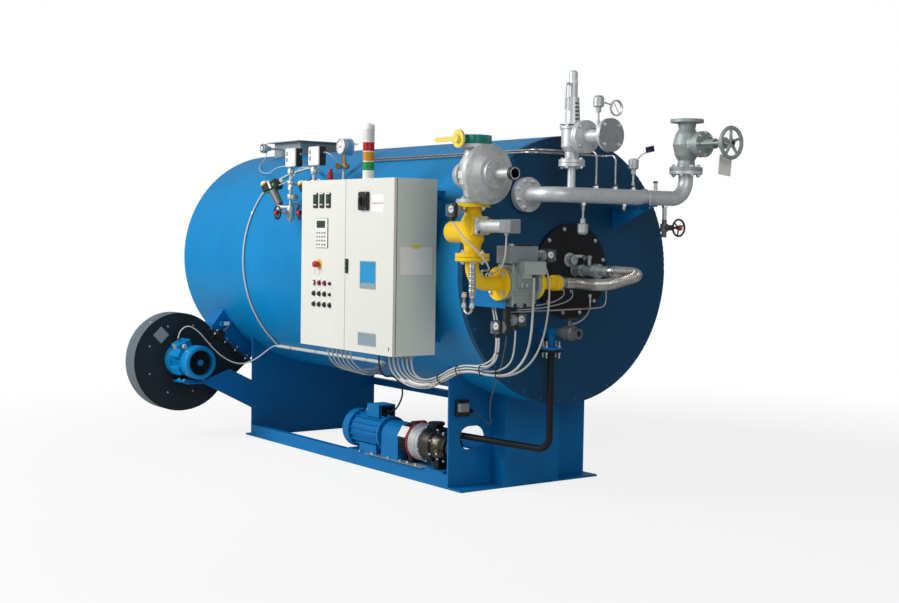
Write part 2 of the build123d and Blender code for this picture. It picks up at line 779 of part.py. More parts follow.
def gas_shutoff_valve():
    spot = (gas_x, gas_y, shutoff_bottom)
    top = shutoff_top - shutoff_bottom
    body = turned(
        spot,
        (0, 0, 1),
        [(0, gas_flange_r), (gas_flange, gas_flange_r), (gas_flange + 1, 46), (60, 46), (90, 62), (200, 62),
         (230, 46), (top - gas_flange - 1, 46), (top - gas_flange, gas_flange_r), (top, gas_flange_r),
         (top, raised_r), (top + gasket, raised_r)],
    )
    side_z = shutoff_bottom + 133
    body += rod((gas_x - 185, gas_y, side_z), (gas_x, gas_y, side_z), 59)
    body += block((gas_x + 50, gas_x + 66), (gas_y - 50, gas_y + 50), (1540, 1640))
    return body


def shutoff_actuator():
    x = gas_x + 66
    y = gas_y
    z = 1588
    case = block((x, x + 60), (y - 42, y + 42), (z - 45, z + 45))
    case += rod((x + 60, y, z), (x + 210, y, z), 34)
    case += block((x + 210, x + 300), (y - 36, y + 36), (z - 36, z + 36))
    return case + gland((x + 224, y, z - 52), "gas_cable_3", "end", 22)


def gas_elbow():
    """Flanged elbow from the shut-off valve towards the far side."""
    top = shutoff_bottom - gasket
    face = elbow_face
    bend = pipe([(gas_x, gas_y, top), (gas_x, gas_y, elbow_z), (gas_x, face, elbow_z)], gas_r, [gas_elbow_r])
    bend += rod((gas_x, gas_y, top - gas_flange), (gas_x, gas_y, top), gas_flange_r)
    bend += rod((gas_x, gas_y, top), (gas_x, gas_y, shutoff_bottom), raised_r)
    return bend + rod((gas_x, face - gas_flange, elbow_z), (gas_x, face, elbow_z), gas_flange_r)


def gas_bracket():
    y = elbow_face
    plate = block((0, gas_x + 45), (y, y + bracket_thick), (elbow_z - 134, elbow_z - 34))
    return plate - rod((gas_x, y, elbow_z), (gas_x, y + bracket_thick, elbow_z), gas_r + 2)


def gas_block_start():
    return elbow_face + bracket_thick


def gas_valve_block():
    """Double gas valve with its two drive boxes."""
    y0 = gas_block_start()
    y1 = y0 + block_len
    body = block((gas_x - 72, gas_x + 72), (y0 + 24, y1 - 24), (elbow_z - 128, elbow_z + 110))
    body = chamfer(body.edges().filter_by(Axis.Y), 14)
    for y in (y0, y1 - gas_flange):
        body += rod((gas_x, y, elbow_z), (gas_x, y + gas_flange, elbow_z), gas_flange_r)
    body += rod((gas_x, y0, elbow_z), (gas_x, y1, elbow_z), 60)
    body += block((gas_x - 60, gas_x + 60), (y0 + 8, y1 - 6), (elbow_z + 110, elbow_z + 206))
    body += block((gas_x + 72, gas_x + 130), (y0 + 60, y1 - 4), (elbow_z + 50, elbow_z + 124))
    return body + gland((gas_x + 115, y0 + 135, elbow_z + 36), "gas_cable_5", "end", 20)


def gas_reducer():
    y = gas_block_start() + block_len
    return turned(
        (gas_x, y, elbow_z),
        (0, 1, 0),
        [(0, gas_flange_r), (22, gas_flange_r), (23, 48), (58, 42), (96, 36), (150, 36), (151, 44), (196, 44)],
    )


def hose_start():
    return gas_block_start() + block_len + 196


def gas_hose():
    """Corrugated metal hose from the reducer round to the burner tube."""
    y0 = hose_start()
    z1 = axis_z + burner_tube_up
    x1 = burner_tube_end
    y1 = burner_tube_y
    span = y1 - y0
    points = [
        (gas_x, y0, elbow_z),
        (gas_x, y0 + 0.233 * span, elbow_z),
        (gas_x + 80, y0 + 0.554 * span, elbow_z - 12),
        (gas_x + 190, y0 + 0.598 * span, elbow_z - 4),
        (gas_x + 300, y0 + 0.67 * span, elbow_z + 18),
        (gas_x + 350, y0 + 0.933 * span, elbow_z + 48),
        (gas_x + 270, y1, z1),
        (x1, y1, z1),
    ]
    return pipe(points, hose_r, smooth_bends(points))


def smooth_bends(points):
    """Largest tangent arc for each corner of a route."""
    radii = []
    for before, corner, after in zip(points, points[1:], points[2:]):
        one = Vector(*corner) - Vector(*before)
        two = Vector(*after) - Vector(*corner)
        turn = math.radians(one.get_angle(two))
        radii.append(0.45 * min(one.length, two.length) / math.tan(turn / 2))
    return radii


def pressure_cell(x, y, z, face, neck, cord):
    """Gas pressure switch on its neck: round base, square cover and cable plug, facing along Y."""
    base = y + face * neck
    cell = rod((x, y, z), (x, base, z), 9)
    cell += rod((x, base, z), (x, base + face * 28, z), 32)
    cell += block((x - 34, x + 34), sorted((base + face * 28, base + face * 70)), (z - 40, z + 40))
    plug_y = base + face * 40
    cell += block((x - 13, x + 13), (plug_y - 11, plug_y + 11), (z - 49, z - 39))
    return cell + gland((x, plug_y, z - 57), cord, "end")


def gas_pressure_switches():
    """Switches on the shut-off valve and the valve block, and two on a bar under the block."""
    y0 = gas_block_start()
    y1 = y0 + block_len
    cells = [pressure_cell(gas_x, gas_y - 46 - seat, 1668, -1, 50, "gas_cable_2")]
    cells.append(pressure_cell(gas_x, y1 - 6, elbow_z + 152, 1, 58, "gas_cable_6"))
    low = elbow_z - 128
    bar = block((gas_x - 16, gas_x + 16), (y0 + 24, y0 + 60), (low - 150, low))
    bar += pressure_cell(gas_x, y0 + 24, low - 112, -1, 6, "gas_cable_1")
    bar += pressure_cell(gas_x, y0 + 60, low - 74, 1, 6, "gas_cable_4")
    bar += gland((gas_x, y0 + 42, low - 162), "support_cable", "end")
    cells.append(bar)
    return cells


def gas_vent_tube():
    """Coiled tube and loop hanging from the elbow flange."""
    x = gas_x + 70
    y = gas_y - 50
    top = shutoff_bottom - gasket - gas_flange
    coil = rod((x, y, top), (x, y, 1215), 17)
    route = [(x, y, 1215), (x, y, 1120), (x - 70, y, 1120), (x - 70, y, 1225)]
    return coil + pipe(route, 7, [34, 34])


def feed_nozzle():
    """Blue branch from the front plate, with a flange facing down."""
    stub = rod((0, feed_y, feed_z), (feed_drop_x + 60, feed_y, feed_z), 22)
    drop = rod((feed_drop_x, feed_y, feed_z), (feed_drop_x, feed_y, feed_flange_z), 22)
    flange = rod((feed_drop_x, feed_y, feed_flange_z), (feed_drop_x, feed_y, feed_flange_z + 14), 70)
    face = rod((feed_drop_x, feed_y, feed_flange_z - gasket), (feed_drop_x, feed_y, feed_flange_z), 45)
    return stub + drop + flange + face


def feed_pipe():
    """Black pipe from the pump through the front support and up to the nozzle."""
    top = feed_flange_z - gasket
    route = [
        (feed_drop_x, feed_y, top),
        (feed_drop_x, feed_y, feed_low_z),
        (-515, pump_y, pump_z + 88),
    ]
    flange = rod((feed_drop_x, feed_y, top - 14), (feed_drop_x, feed_y, top), 70)
    return pipe(route, feed_r, [70]) + flange


def front_ball_valve():
    x0 = feed_drop_x + 60
    body = turned(
        (x0, feed_y, feed_z),
        (1, 0, 0),
        [(0, 20), (30, 20), (31, 30), (60, 30), (70, 42), (130, 42), (140, 30), (180, 30)],
    )
    body -= rod((x0 + 150, feed_y, feed_z), (x0 + 180, feed_y, feed_z), 18)
    return body + rod((x0 + 100, feed_y, feed_z), (x0 + 100, feed_y, feed_z + 78), 12)


def ball_valve_handle():
    x = feed_drop_x + 160
    z = feed_z + 78 + seat
    return Plane(origin=(x, feed_y, z)) * extrude(Ellipse(62, 26), 12)


def pump_motor():
    body = turned(
        (pump_motor_x, pump_y, pump_z),
        (1, 0, 0),
        [(0, 100), (14, pump_motor_r), (86, pump_motor_r), (87, 108), (400, 108), (402, 118), (424, 118), (430, 60)],
    )
    fin = Pos(0, 0, 240) * Box(2 * pump_motor_r - 12, 5, 300)
    plane = Plane(origin=(pump_motor_x, pump_y, pump_z), z_dir=(1, 0, 0))
    for turn in range(0, 180, 20):
        body += plane * (Rot(0, 0, turn) * fin)
    box_end = pump_motor_x + 350
    body += block((box_end - 138, box_end), (pump_y - 60, pump_y + 70), (pump_z + 100, pump_z + 178))
    body += block((box_end - 178, box_end + 22), (pump_y - 92, pump_y + 92), (base_top, base_top + 60))
    return body + gland((box_end + 12, pump_y + 5, pump_z + 140), "pump_cable", "end")


def pump_guard():
    """Arched sheet cover over the coupling."""
    half = 96
    arch = block((pump_x - 191, pump_x), (pump_y - half, pump_y + half), (base_top, pump_z))
    arch += rod((pump_x - 191, pump_y, pump_z), (pump_x, pump_y, pump_z), half)
    return arch


def pump():
    """Multistage pump: bearing bracket, ringed casing and outlet end."""
    profile = [(0, 60), (40, 60), (60, 96), (120, 100), (122, 118), (150, 118), (152, 110)]
    for i in range(4):
        start = 160 + i * 46
        profile += [(start, 110), (start + 4, 120), (start + 34, 120), (start + 38, 110)]
    profile += [(350, 110), (352, 122), (400, 122), (430, 96), (470, 60)]
    body = turned((pump_x, pump_y, pump_z), (1, 0, 0), profile)
    body += block((pump_x + 85, pump_x + 425), (pump_y - 70, pump_y + 70), (base_top, base_top + 60))
    outlet_x = pump_x + 285
    body += rod((outlet_x, pump_y, pump_z), (outlet_x, pump_y, pump_z + 145), 40)
    return body


def level_stand(x):
    """Upright pipe with a globe valve at its foot and two branches to the shell."""
    z = stand_valve_z
    pipe_up = rod((x, stand_y, z - 60), (x, stand_y, stand_top), stand_r)
    pipe_up += rod((x, stand_y, z - 30), (x, stand_y, z + 30), 24)
    pipe_up += rod((x, stand_y, z), (x, stand_y - 50, z), 16)
    pipe_up += rod((x, stand_y - 50, z), (x, stand_y - wheel_out, z), 7)
    pipe_up += rod((x, stand_y, stand_top - 4), (x, stand_y, stand_top - 40), 18)
    for branch in (z + 60, z + 190):
        pipe_up += rod((x, stand_y, branch), (x, 0, branch), 9)
    return saddle(pipe_up)


def instrument_stands():
    return [level_stand(x) for x in stand_x]


def stand_wheel(x):
    """Small hand wheel of a level stand valve."""
    y = stand_y - wheel_out
    wheel = handwheel((x, y, stand_valve_z), (0, -1, 0), 48, 6, 14, 3)
    return wheel - rod((x, y + 30, stand_valve_z), (x, y - seat, stand_valve_z), 7 + shaft_play)


def pressure_boxes():
    return [block((x - 26, x + 99), (stand_y - 30, stand_y + 40), (stand_top, stand_top + 121)) for x in stand_x]


def pressure_gauge():
    """Dial gauge on its brass manifold, with a post down to the shell."""
    x = -1625
    y = -600
    z = 2106
    case = rod((x, y, z), (x, y + 60, z), 52)
    case += rod((x, y + 60, z), (x, y + 70, z), 56)
    case += rod((x, y + 25, z), (x, y + 25, 1996), 10)
    case += rod((x - 24, y + 25, 1978), (x + 24, y + 25, 1978), 18)
    case += rod((x, y + 25, 1996), (x, y + 25, axis_z), 10)
    return saddle(case)


def level_actuator(stand):
    """Motor drive on an inclined valve body beside a stand."""
    x = stand - 165
    y = stand_y - 50
    case = block((x - 65, x + 65), (y - 45, y + 45), (1795, 1895))
    case += rod((x, y, 1795), (x, y, 1745), 26)
    case += rod((x, y, 1760), (x, 0, 1760), 16)
    return saddle(case)


def flue_sensor():
    wall = flue_w / 2 - flue_lip
    x = flue_x - 60
    z = flue_top - 57
    return turned((x, -wall, z), (0, -1, 0), [(0, 8), (110, 8), (112, 16), (140, 20), (150, 34), (185, 34)])


def support_switch():
    """Small switch box on the front support."""
    face = front_plate_x
    near = -(stand_half - 134)
    case = block((face, face + 60), (-(stand_half - 41), near), (440, 540))
    return case + gland((face + 30, near + 12, 470), "support_cable", "start")


def round_shell(x, degrees, out):
    """Point at a distance out of the shell, at an angle about its axis."""
    angle = math.radians(degrees)
    return (x, (shell_r + out) * math.cos(angle), axis_z + (shell_r + out) * math.sin(angle))


def shell_cable():
    """Cable clipped along and round the shell, and the trunk that it joins under the cabinet."""
    box_x = stand_x[0] + 37
    box_y = stand_y + 40
    box_z = stand_top + 33
    free = seat + shell_cable_r + 4
    route = [(box_x, box_y, box_z), (box_x, box_y + 65, box_z), round_shell(box_x - 95, 134, 22)]
    route += [round_shell(-2200, 125, free), round_shell(-2440, 131, free)]
    turns = 6
    first = 141
    step = (360 + trunk_deg - first) / turns
    corner = (shell_r + seat + shell_cable_r) / math.cos(math.radians(step / 2)) - shell_r
    route += [round_shell(shell_cable_x, first + step * i, corner) for i in range(turns + 1)]
    centre = seat + trunk_r
    trunk = rod(round_shell(trunk_start, trunk_deg, centre), round_shell(trunk_end, trunk_deg, centre), trunk_r)
    return pipe(route, shell_cable_r, smooth_bends(route)) + trunk


nodes = {
    "boiler_shell": boiler_shell(),
    "front_plate": end_plate(-end_thick, 0),
    "rear_plate": end_plate(-shell_len + end_thick, -shell_len),
    "burner_door": burner_door(),
    "burner_fittings": burner_fittings(),
    "front_support": front_support(),
    "rear_support": rear_support(),
    "base_rails": base_rails(),
    "flue_collar": flue_collar(),
    "fan_housing": fan_housing(),
    "fan_duct": fan_duct(),
    "fan_motor": fan_motor(),
    "cabinet_body": cabinet_body(),
    "cabinet_door_left": cabinet_door(cab_x, door_split() - door_w_gap / 2),
    "cabinet_door_right": cabinet_door(door_split() + door_w_gap / 2, cab_x + cab_w),
    "left_door_controls": left_door_controls(),
    "right_door_controls": right_door_controls(),
    "main_switch_handle": main_switch_handle(),
    "signal_tower": signal_tower(),
    "steam_header": steam_header(),
    "wall_brackets": cabinet_standoffs() + [header_bracket(), gas_bracket()],
    "stop_valve": stop_valve(),
    "stop_valve_wheel": stop_valve_wheel(),
    "safety_valve": safety_valve(),
    "safety_outlet": safety_outlet(),
    "instruments": header_sensors() + [flue_sensor(), pressure_gauge()],
    "small_tubes": impulse_tubes() + [gas_vent_tube()],
    "small_valves": [drain_valve(), front_ball_valve()],
    "drain_wheel": drain_wheel(),
    "gas_inlet_valve": gas_inlet_valve(),
    "gas_lever": gas_lever(),
    "gas_regulator": gas_regulator(),
    "gas_shutoff_valve": gas_shutoff_valve(),
    "valve_actuators": [shutoff_actuator()] + [level_actuator(x) for x in stand_x],
    "gas_fittings": [gas_elbow(), gas_reducer()],
    "gas_valve_block": gas_valve_block(),
    "gas_hose": gas_hose(),
    "pressure_switches": gas_pressure_switches() + pressure_boxes() + [support_switch()],
    "feed_nozzle": feed_nozzle(),
    "feed_pipe": feed_pipe(),
    "ball_valve_handle": ball_valve_handle(),
    "pump_motor": pump_motor(),
    "pump_guard": pump_guard(),
    "pump": pump(),
    "instrument_stands": instrument_stands(),
    "stand_wheel_rear": stand_wheel(stand_x[0]),
    "stand_wheel_front": stand_wheel(stand_x[1]),
    "shell_cable": shell_cable(),
}
for name, (radius, route) in cords.items():
    bends = smooth_bends(route)
    nodes[name] = pipe(route, radius, bends)
    runs = [(Vector(*b) - Vector(*a)).length for a, b in zip(route, route[1:])]
    share = nodes[name].volume / (math.pi * radius**2)
    print(name, "runs", round(sum(runs)), "length", round(share), "radii", [round(r) for r in bends])

os.makedirs("parts", exist_ok=True)
for name, shape in nodes.items():
    solids = shape if isinstance(shape, list) else [shape]
    solids = [s for piece in solids for s in piece.solids()]
    placed = [Pos(-foot_centre, 0, 0) * s for s in solids]
    whole = placed[0] if len(placed) == 1 else Compound(children=placed)
    export_step(whole, "parts/" + name + ".step")
    print(name, len(placed))
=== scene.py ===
# %% [markdown]
# An industrial steam boiler: a round blue shell on a steel stand, with its control cabinet, gas train,
# steam header, fan and feed pump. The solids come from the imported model. This file gives every surface
# its finish and adds the small things that a solid model leaves out: bolts, dials, buttons and cables.

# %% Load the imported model
import math
from itertools import product

import bmesh
import bpy
from mathutils import Matrix, Vector


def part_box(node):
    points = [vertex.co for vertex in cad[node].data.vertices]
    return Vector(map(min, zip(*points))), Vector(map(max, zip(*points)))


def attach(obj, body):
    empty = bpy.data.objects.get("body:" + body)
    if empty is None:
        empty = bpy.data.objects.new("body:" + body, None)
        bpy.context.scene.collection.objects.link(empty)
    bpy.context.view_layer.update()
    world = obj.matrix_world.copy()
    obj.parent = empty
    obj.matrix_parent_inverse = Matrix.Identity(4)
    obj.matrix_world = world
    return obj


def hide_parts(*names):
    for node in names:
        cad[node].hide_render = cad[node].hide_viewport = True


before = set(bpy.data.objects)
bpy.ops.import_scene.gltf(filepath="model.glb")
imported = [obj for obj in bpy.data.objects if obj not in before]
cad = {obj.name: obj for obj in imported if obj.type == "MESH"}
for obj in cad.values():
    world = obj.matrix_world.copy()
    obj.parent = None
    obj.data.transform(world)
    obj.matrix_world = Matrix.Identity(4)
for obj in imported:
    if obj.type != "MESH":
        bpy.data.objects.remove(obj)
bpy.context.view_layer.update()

scene = bpy.context.scene

# %% [markdown]
# All places are given as on a drawing, in millimetres: X from the front plate's face, Y from the middle
# of the shell and Z from the floor. One function turns them to metres in the model's own frame.

# %% Drawing places to metres
MM = 0.001
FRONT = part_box("front_plate")[1].x
SHELL_LOW, SHELL_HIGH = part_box("boiler_shell")
SHELL_R = (SHELL_HIGH.z - SHELL_LOW.z) / 2 / MM
AXIS_Z = (SHELL_HIGH.z + SHELL_LOW.z) / 2 / MM
X, Y, Z = Vector((1, 0, 0)), Vector((0, 1, 0)), Vector((0, 0, 1))


def at(x, y, z):
    """A place on the drawing, in metres in the model's frame."""
    return Vector((FRONT + x * MM, y * MM, z * MM))


print("front plate at", round(FRONT, 3), "shell radius", round(SHELL_R), "axis height", round(AXIS_Z))

# %% [markdown]
# The camera stands where the photographer stood: in front of the burner end, to the left, a little above
# the middle of the shell. Its place was worked out from the shell's round end and the stand's corners.

# %% Camera
CAMERA_PLACE = at(6102, -5381, 1557)
CAMERA_AIM = at(-1196.5, 0, 1088.9)
CAMERA_ROLL = math.radians(0.92)
CAMERA_LENS = 54.47

lens = bpy.data.cameras.new("camera")
lens.sensor_width = 36
lens.lens = CAMERA_LENS
lens.clip_end = 100
camera = bpy.data.objects.new("camera", lens)
scene.collection.objects.link(camera)
back = (CAMERA_PLACE - CAMERA_AIM).normalized()
right = Z.cross(back).normalized()
up = back.cross(right)
turned_right = right * math.cos(CAMERA_ROLL) + up * math.sin(CAMERA_ROLL)
turned_up = up * math.cos(CAMERA_ROLL) - right * math.sin(CAMERA_ROLL)
axes = Matrix((turned_right, turned_up, back)).transposed().to_4x4()
camera.matrix_world = Matrix.Translation(CAMERA_PLACE) @ axes
scene.camera = camera
print("camera at", [round(v, 2) for v in CAMERA_PLACE])

# %% [markdown]
# The cables come next. Each hangs between a gland and a plug, with its real length, and its smooth line
# runs through the places where it is held or sags. Most are pale grey PVC. The two that serve the pump and
# the switch on the stand are black and dark grey. Four of the cabinet's loops and the three thin leads are
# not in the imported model, so they stand for no solid.

# %% Loose cables
CORDS = {
    "fan_cable": (9, 948, [
        (-2975, -1125, 750), (-2975, -1121, 801), (-2959, -1058, 848), (-2940, -988, 806), (-2923, -935, 741),
        (-2905, -883, 675), (-2881, -825, 617), (-2849, -759, 572), (-2806, -688, 557), (-2759, -624, 588),
        (-2717, -570, 639), (-2668, -511.2, 701.7), (-2612, -511.2, 701.7),
    ]),
    "cabinet_loop_1": (10, 643, [
        (-1240, -506.7, 698.2), (-1170, -506.7, 698.2), (-1095, -579, 667), (-1051, -670, 649),
        (-1012, -764, 653), (-989, -858, 686), (-990, -940, 757), (-990, -940, 816),
    ]),
    "cabinet_loop_2": (10, 646, [
        (-1240, -515.7, 705.2), (-1171, -515.7, 705.2), (-1086, -581, 691), (-1026, -662, 678),
        (-980, -753, 672), (-946, -850, 690), (-938, -940, 759), (-938, -940, 816),
    ]),
    "gas_cable_1": (10, 810, [
        (-280, -940, 816), (-280, -940, 750), (-215, -902, 700), (-119, -858, 732), (-36, -833, 785),
        (57, -807, 812), (153, -776, 807), (250, -770, 822), (285, -764, 913), (285, -764, 979),
    ]),
    "gas_cable_2": (10, 1792, [
        (-326, -940, 816), (-326, -940, 750), (-250, -897, 697), (-147, -854, 721), (-56, -825, 771),
        (40, -798, 810), (141, -760, 808), (215, -719, 861), (217, -714, 968), (190, -709, 1073),
        (150, -703, 1173), (137, -726, 1276), (174, -801, 1340), (266, -853, 1348), (368, -886, 1350),
        (419, -957, 1405), (386, -1023, 1482), (319, -1067, 1555), (285, -1081.3, 1611),
    ]),
    "gas_cable_3": (9, 1774, [
        (-372, -940, 816), (-372, -940, 761), (-305, -913, 698), (-210, -881, 690), (-117, -857, 718),
        (-35, -833, 770), (58, -807, 797), (152, -772, 790), (226, -727, 829), (240, -712, 926),
        (226, -707, 1026), (188, -701, 1119), (155, -702, 1214), (163, -746, 1301), (228, -810, 1332),
        (326, -833, 1330), (419, -855, 1359), (497, -892, 1410), (561, -934, 1475), (575, -945, 1536),
    ]),
    "gas_cable_4": (10, 1057, [
        (-418, -940, 816), (-418, -940, 751), (-331, -905, 685), (-217, -869, 684), (-109, -841, 723),
        (-9, -812, 783), (103, -777, 796), (211, -730, 777), (278, -657, 823), (285, -636, 939),
        (285, -636, 1017),
    ]),
    "gas_cable_5": (13, 1491, [
        (-464, -940, 816), (-464, -940, 748), (-366, -911, 675), (-243, -889, 663), (-126, -860, 698),
        (-22, -830, 762), (96, -794, 782), (210, -747, 760), (312, -680, 774), (367, -624, 870),
        (390, -610, 992), (397, -608, 1118), (400, -607, 1234), (400, -607, 1312),
    ]),
    "gas_cable_6": (11, 1679, [
        (-510, -940, 816), (-510, -940, 750), (-426, -910, 672), (-310, -886, 650), (-193, -859, 659),
        (-89, -833, 716), (14, -803, 770), (129, -766, 774), (235, -712, 754), (304, -621, 777),
        (323, -529, 852), (330, -475, 960), (344, -458, 1079), (355, -455, 1199), (335, -443, 1315),
        (285, -433, 1371),
    ]),
    "pump_cable": (11, 1001, [
        (-620, -940, 816), (-620, -940, 735), (-685, -850, 674), (-753, -744, 672), (-813, -654, 619),
        (-886, -581, 557), (-975, -526, 498), (-1072, -482, 440), (-1174, -449, 384), (-1250, -445, 372),
    ]),
    "support_cable": (8, 1083, [
        (-414, -400, 470), (-406, -356, 455), (-352, -344, 413), (-270, -360, 401), (-212, -406, 431),
        (-168, -449, 482), (-124, -483, 536), (-79, -513, 592), (-30, -536, 647), (21, -556, 702),
        (74, -577, 755), (124, -601, 810), (174, -629, 862), (227, -666, 900), (278, -698, 940),
        (285, -700, 986),
    ]),
    "cabinet_loop_3": (10, 603, [
        (-1240, -521, 698), (-1190, -521, 698), (-1123, -578, 676), (-1070, -668, 655), (-1036, -765, 650),
        (-1042, -860, 684), (-1042, -940, 757), (-1042, -940, 816),
    ]),
    "cabinet_loop_4": (10, 582, [
        (-1240, -506, 708), (-1188, -506, 708), (-1172, -583, 672), (-1122, -668, 658), (-1088, -765, 654),
        (-1094, -860, 684), (-1094, -940, 757), (-1094, -940, 816),
    ]),
    "cabinet_loop_5": (10, 557, [
        (-1240, -513, 690), (-1186, -513, 690), (-1172, -588, 668), (-1174, -668, 661), (-1140, -765, 658),
        (-1146, -860, 684), (-1146, -940, 757), (-1146, -940, 816),
    ]),
    "cabinet_loop_6": (10, 560, [
        (-1240, -524, 708), (-1184, -524, 708), (-1172, -593, 664), (-1226, -668, 664), (-1192, -765, 662),
        (-1198, -860, 684), (-1198, -940, 757), (-1198, -940, 816),
    ]),
    "flue_lead": (6, 1458, [
        (-3067, -368, 2124), (-3067, -372, 2080), (-3040, -448, 2025), (-2900, -506, 1972),
        (-2600, -604, 1948), (-2300, -718, 1975), (-2060, -809, 1978), (-1850, -790, 1985),
        (-1810, -800, 1985), (-1790, -820, 1980),
    ]),
    "actuator_lead": (6, 482, [
        (-1490, -843, 1967), (-1500, -843, 1955), (-1540, -845, 1945), (-1640, -870, 1963),
        (-1664, -895, 1950), (-1689, -905, 1923), (-1747, -905, 1884), (-1852, -898, 1858),
        (-1925, -895, 1846),
    ]),
    "switch_lead": (6, 430, [
        (-1432, -835, 2050), (-1405, -835, 2048), (-1370, -815, 2022), (-1375, -770, 1985),
        (-1440, -690, 1960), (-1540, -610, 1965), (-1605, -580, 1978),
    ]),
}


def nurbs(name, points, fineness):
    """Smooth curve led by its places, with nothing round it."""
    curve = bpy.data.curves.new(name, "CURVE")
    curve.dimensions = "3D"
    spline = curve.splines.new("NURBS")
    spline.points.add(len(points) - 1)
    for control, point in zip(spline.points, points):
        control.co = (*at(*point), 1)
    spline.order_u = 3
    spline.use_endpoint_u = True
    spline.resolution_u = fineness
    return curve


def cord_curve(name, thick, points):
    """Round cord along a smooth line. Each point holds the radius, and the bevel is 1."""
    curve = nurbs(name, points, 12)
    for control in curve.splines[0].points:
        control.radius = thick / 2 * MM
    curve.bevel_depth = 1
    curve.bevel_resolution = 4
    curve.use_fill_caps = True
    piece = bpy.data.objects.new(name, curve)
    scene.collection.objects.link(piece)
    return piece


cords = {}
for name, (thick, length, points) in CORDS.items():
    piece = cord_curve("cord_" + name, thick, points)
    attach(piece, "boiler")
    if name in cad:
        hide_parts(name)
    cords[name] = piece
    print(name, length, "mm long")

# %% [markdown]
# Materials are built from nodes. One helper adds a node, sets it and links what it is given. Colours are
# written as the hex values that a screen shows, and one function turns them to the linear values that
# the renderer works with. The rest is what the recipes share: a cloud pattern, a value and a colour that
# follow it, and a fine grain.

# %% Node and colour helpers
def linear(hex_colour):
    """Screen colour such as 'ff8800' as linear red, green, blue and alpha."""
    values = [int(hex_colour[i:i + 2], 16) / 255 for i in (0, 2, 4)]
    return [v / 12.92 if v <= 0.04045 else ((v + 0.055) / 1.055) ** 2.4 for v in values] + [1]


def add(tree, kind, inputs=None, **settings):
    """Add one shader node, with its settings, values and links."""
    made = tree.nodes.new("ShaderNode" + kind)
    for name, value in settings.items():
        setattr(made, name, value)
    for name, value in (inputs or {}).items():
        if isinstance(value, bpy.types.NodeSocket):
            tree.links.new(value, made.inputs[name])
        else:
            made.inputs[name].default_value = value
    return made


def new_material(name):
    """An empty material with its output, its tree and the surface place of each point."""
    material = bpy.data.materials.new(name)
    material.use_nodes = True
    tree = material.node_tree
    tree.nodes.clear()
    place = add(tree, "TexCoord").outputs["Object"]
    return material, tree, place


def close(material, tree, shader):
    """Join the last shader to the material's output."""
    add(tree, "OutputMaterial", {"Surface": shader.outputs[0]})
    return material


def surface(material, tree, inputs):
    """Close a material with the standard surface shader."""
    return close(material, tree, add(tree, "BsdfPrincipled", inputs))


def noise(tree, place, scale, detail, rough=0.5):
    """Level of a cloud pattern, from 0 to 1."""
    clouds = add(tree, "TexNoise", {"Vector": place, "Scale": scale, "Detail": detail, "Roughness": rough})
    return clouds.outputs["Fac"]


def between(tree, level, low, high):
    """Value that goes from low to high with a level."""
    return add(tree, "MapRange", {"Value": level, "To Min": low, "To Max": high}).outputs["Result"]


def drifting(tree, level, colour, drift):
    """Colour that is a little darker where a level is low and lighter where it is high."""
    shade = add(tree, "ValToRGB", {"Fac": level})
    for stop, position, share in zip(shade.color_ramp.elements, (0.3, 0.7), (1 - drift, 1 + drift)):
        stop.position = position
        stop.color = [min(1, v * share) for v in linear(colour)[:3]] + [1]
    return shade.outputs["Color"]


def grain(tree, place, grain_mm, strength, detail=2.0, depth=0.25):
    """Normal of a fine texture, whose depth is a share of its grain's size."""
    fine = noise(tree, place, 1000 / grain_mm, detail)
    relief = add(tree, "Bump", {"Height": fine, "Strength": strength, "Distance": grain_mm * MM * depth})
    return relief.outputs["Normal"]


# %% [markdown]
# Most of this machine is painted steel. A sprayed gloss coat isn't flat: it has a faint orange peel, and
# its colour drifts a little over a big sheet. Dust and handling leave it duller in patches. One recipe
# makes all the paints, and each paint gives its own colour, gloss and texture size.

# %% Paint
def paint(name, colour, rough=0.35, coat=0.3, grain_mm=9, bump=0.06, drift=0.08, rim=None):
    """Sprayed paint: drifting colour, duller patches, a fine texture and, where given, another rim colour."""
    material, tree, place = new_material(name)
    shade = drifting(tree, noise(tree, place, 2.2, 4.0, 0.6), colour, drift)
    if rim:
        facing = add(tree, "SeparateXYZ", {"Vector": add(tree, "NewGeometry").outputs["Normal"]})
        flat = add(tree, "Math", {0: facing.outputs["X"], 1: 0.0, 2: 0.6}, operation="COMPARE")
        tone = add(tree, "MixRGB", {"Fac": flat.outputs[0], "Color1": shade, "Color2": linear(rim)})
        shade = tone.outputs["Color"]
    return surface(material, tree, {
        "Base Color": shade,
        "Roughness": between(tree, noise(tree, place, 14.0, 6.0, 0.65), rough - 0.06, rough + 0.12),
        "Normal": grain(tree, place, grain_mm, bump),
        "Coat Weight": coat,
        "Coat Roughness": 0.12,
        "Specular IOR Level": 0.2,
        "IOR": 1.5,
    })


blue_gloss = paint("blue_gloss_enamel", "0081bd", rough=0.4, coat=0.05)
# The front plate takes the shell's blue enamel darkened: painted shade for its face, which stands out of the
# key lamp's light.
front_blue_painted_shade = paint("darkened_shell_blue_painted_shade", "0a4468", rough=0.4, coat=0.08)
blue_dark = paint("blue_gloss_enamel_stand", "006fae", rough=0.44, coat=0.05)
black_satin = paint("black_satin_enamel", "17191c", rough=0.5, coat=0.08, drift=0.2)
fan_slate = paint("slate_fan_enamel", "20292e", rough=0.5, coat=0.05, drift=0.15, rim="5f6b72")
powder = {"rough": 0.55, "coat": 0.0, "grain_mm": 3, "bump": 0.2}
grey_powder = paint("light_grey_powder_coat", "dcdcd6", drift=0.015, **powder)
grey_side = paint("grey_powder_coat_case", "d3dbd4", drift=0.02, **powder)
yellow_gloss = paint("yellow_gloss_enamel", "f2c811", rough=0.33, coat=0.3, drift=0.07)
teal_gloss = paint("teal_epoxy", "12857c", rough=0.35, coat=0.3)
grey_enamel = paint("grey_enamel", "8b9498", rough=0.45, coat=0.1)
plate_blue = paint("light_blue_plate", "2590c4", rough=0.4, coat=0.2, grain_mm=2, drift=0.12)
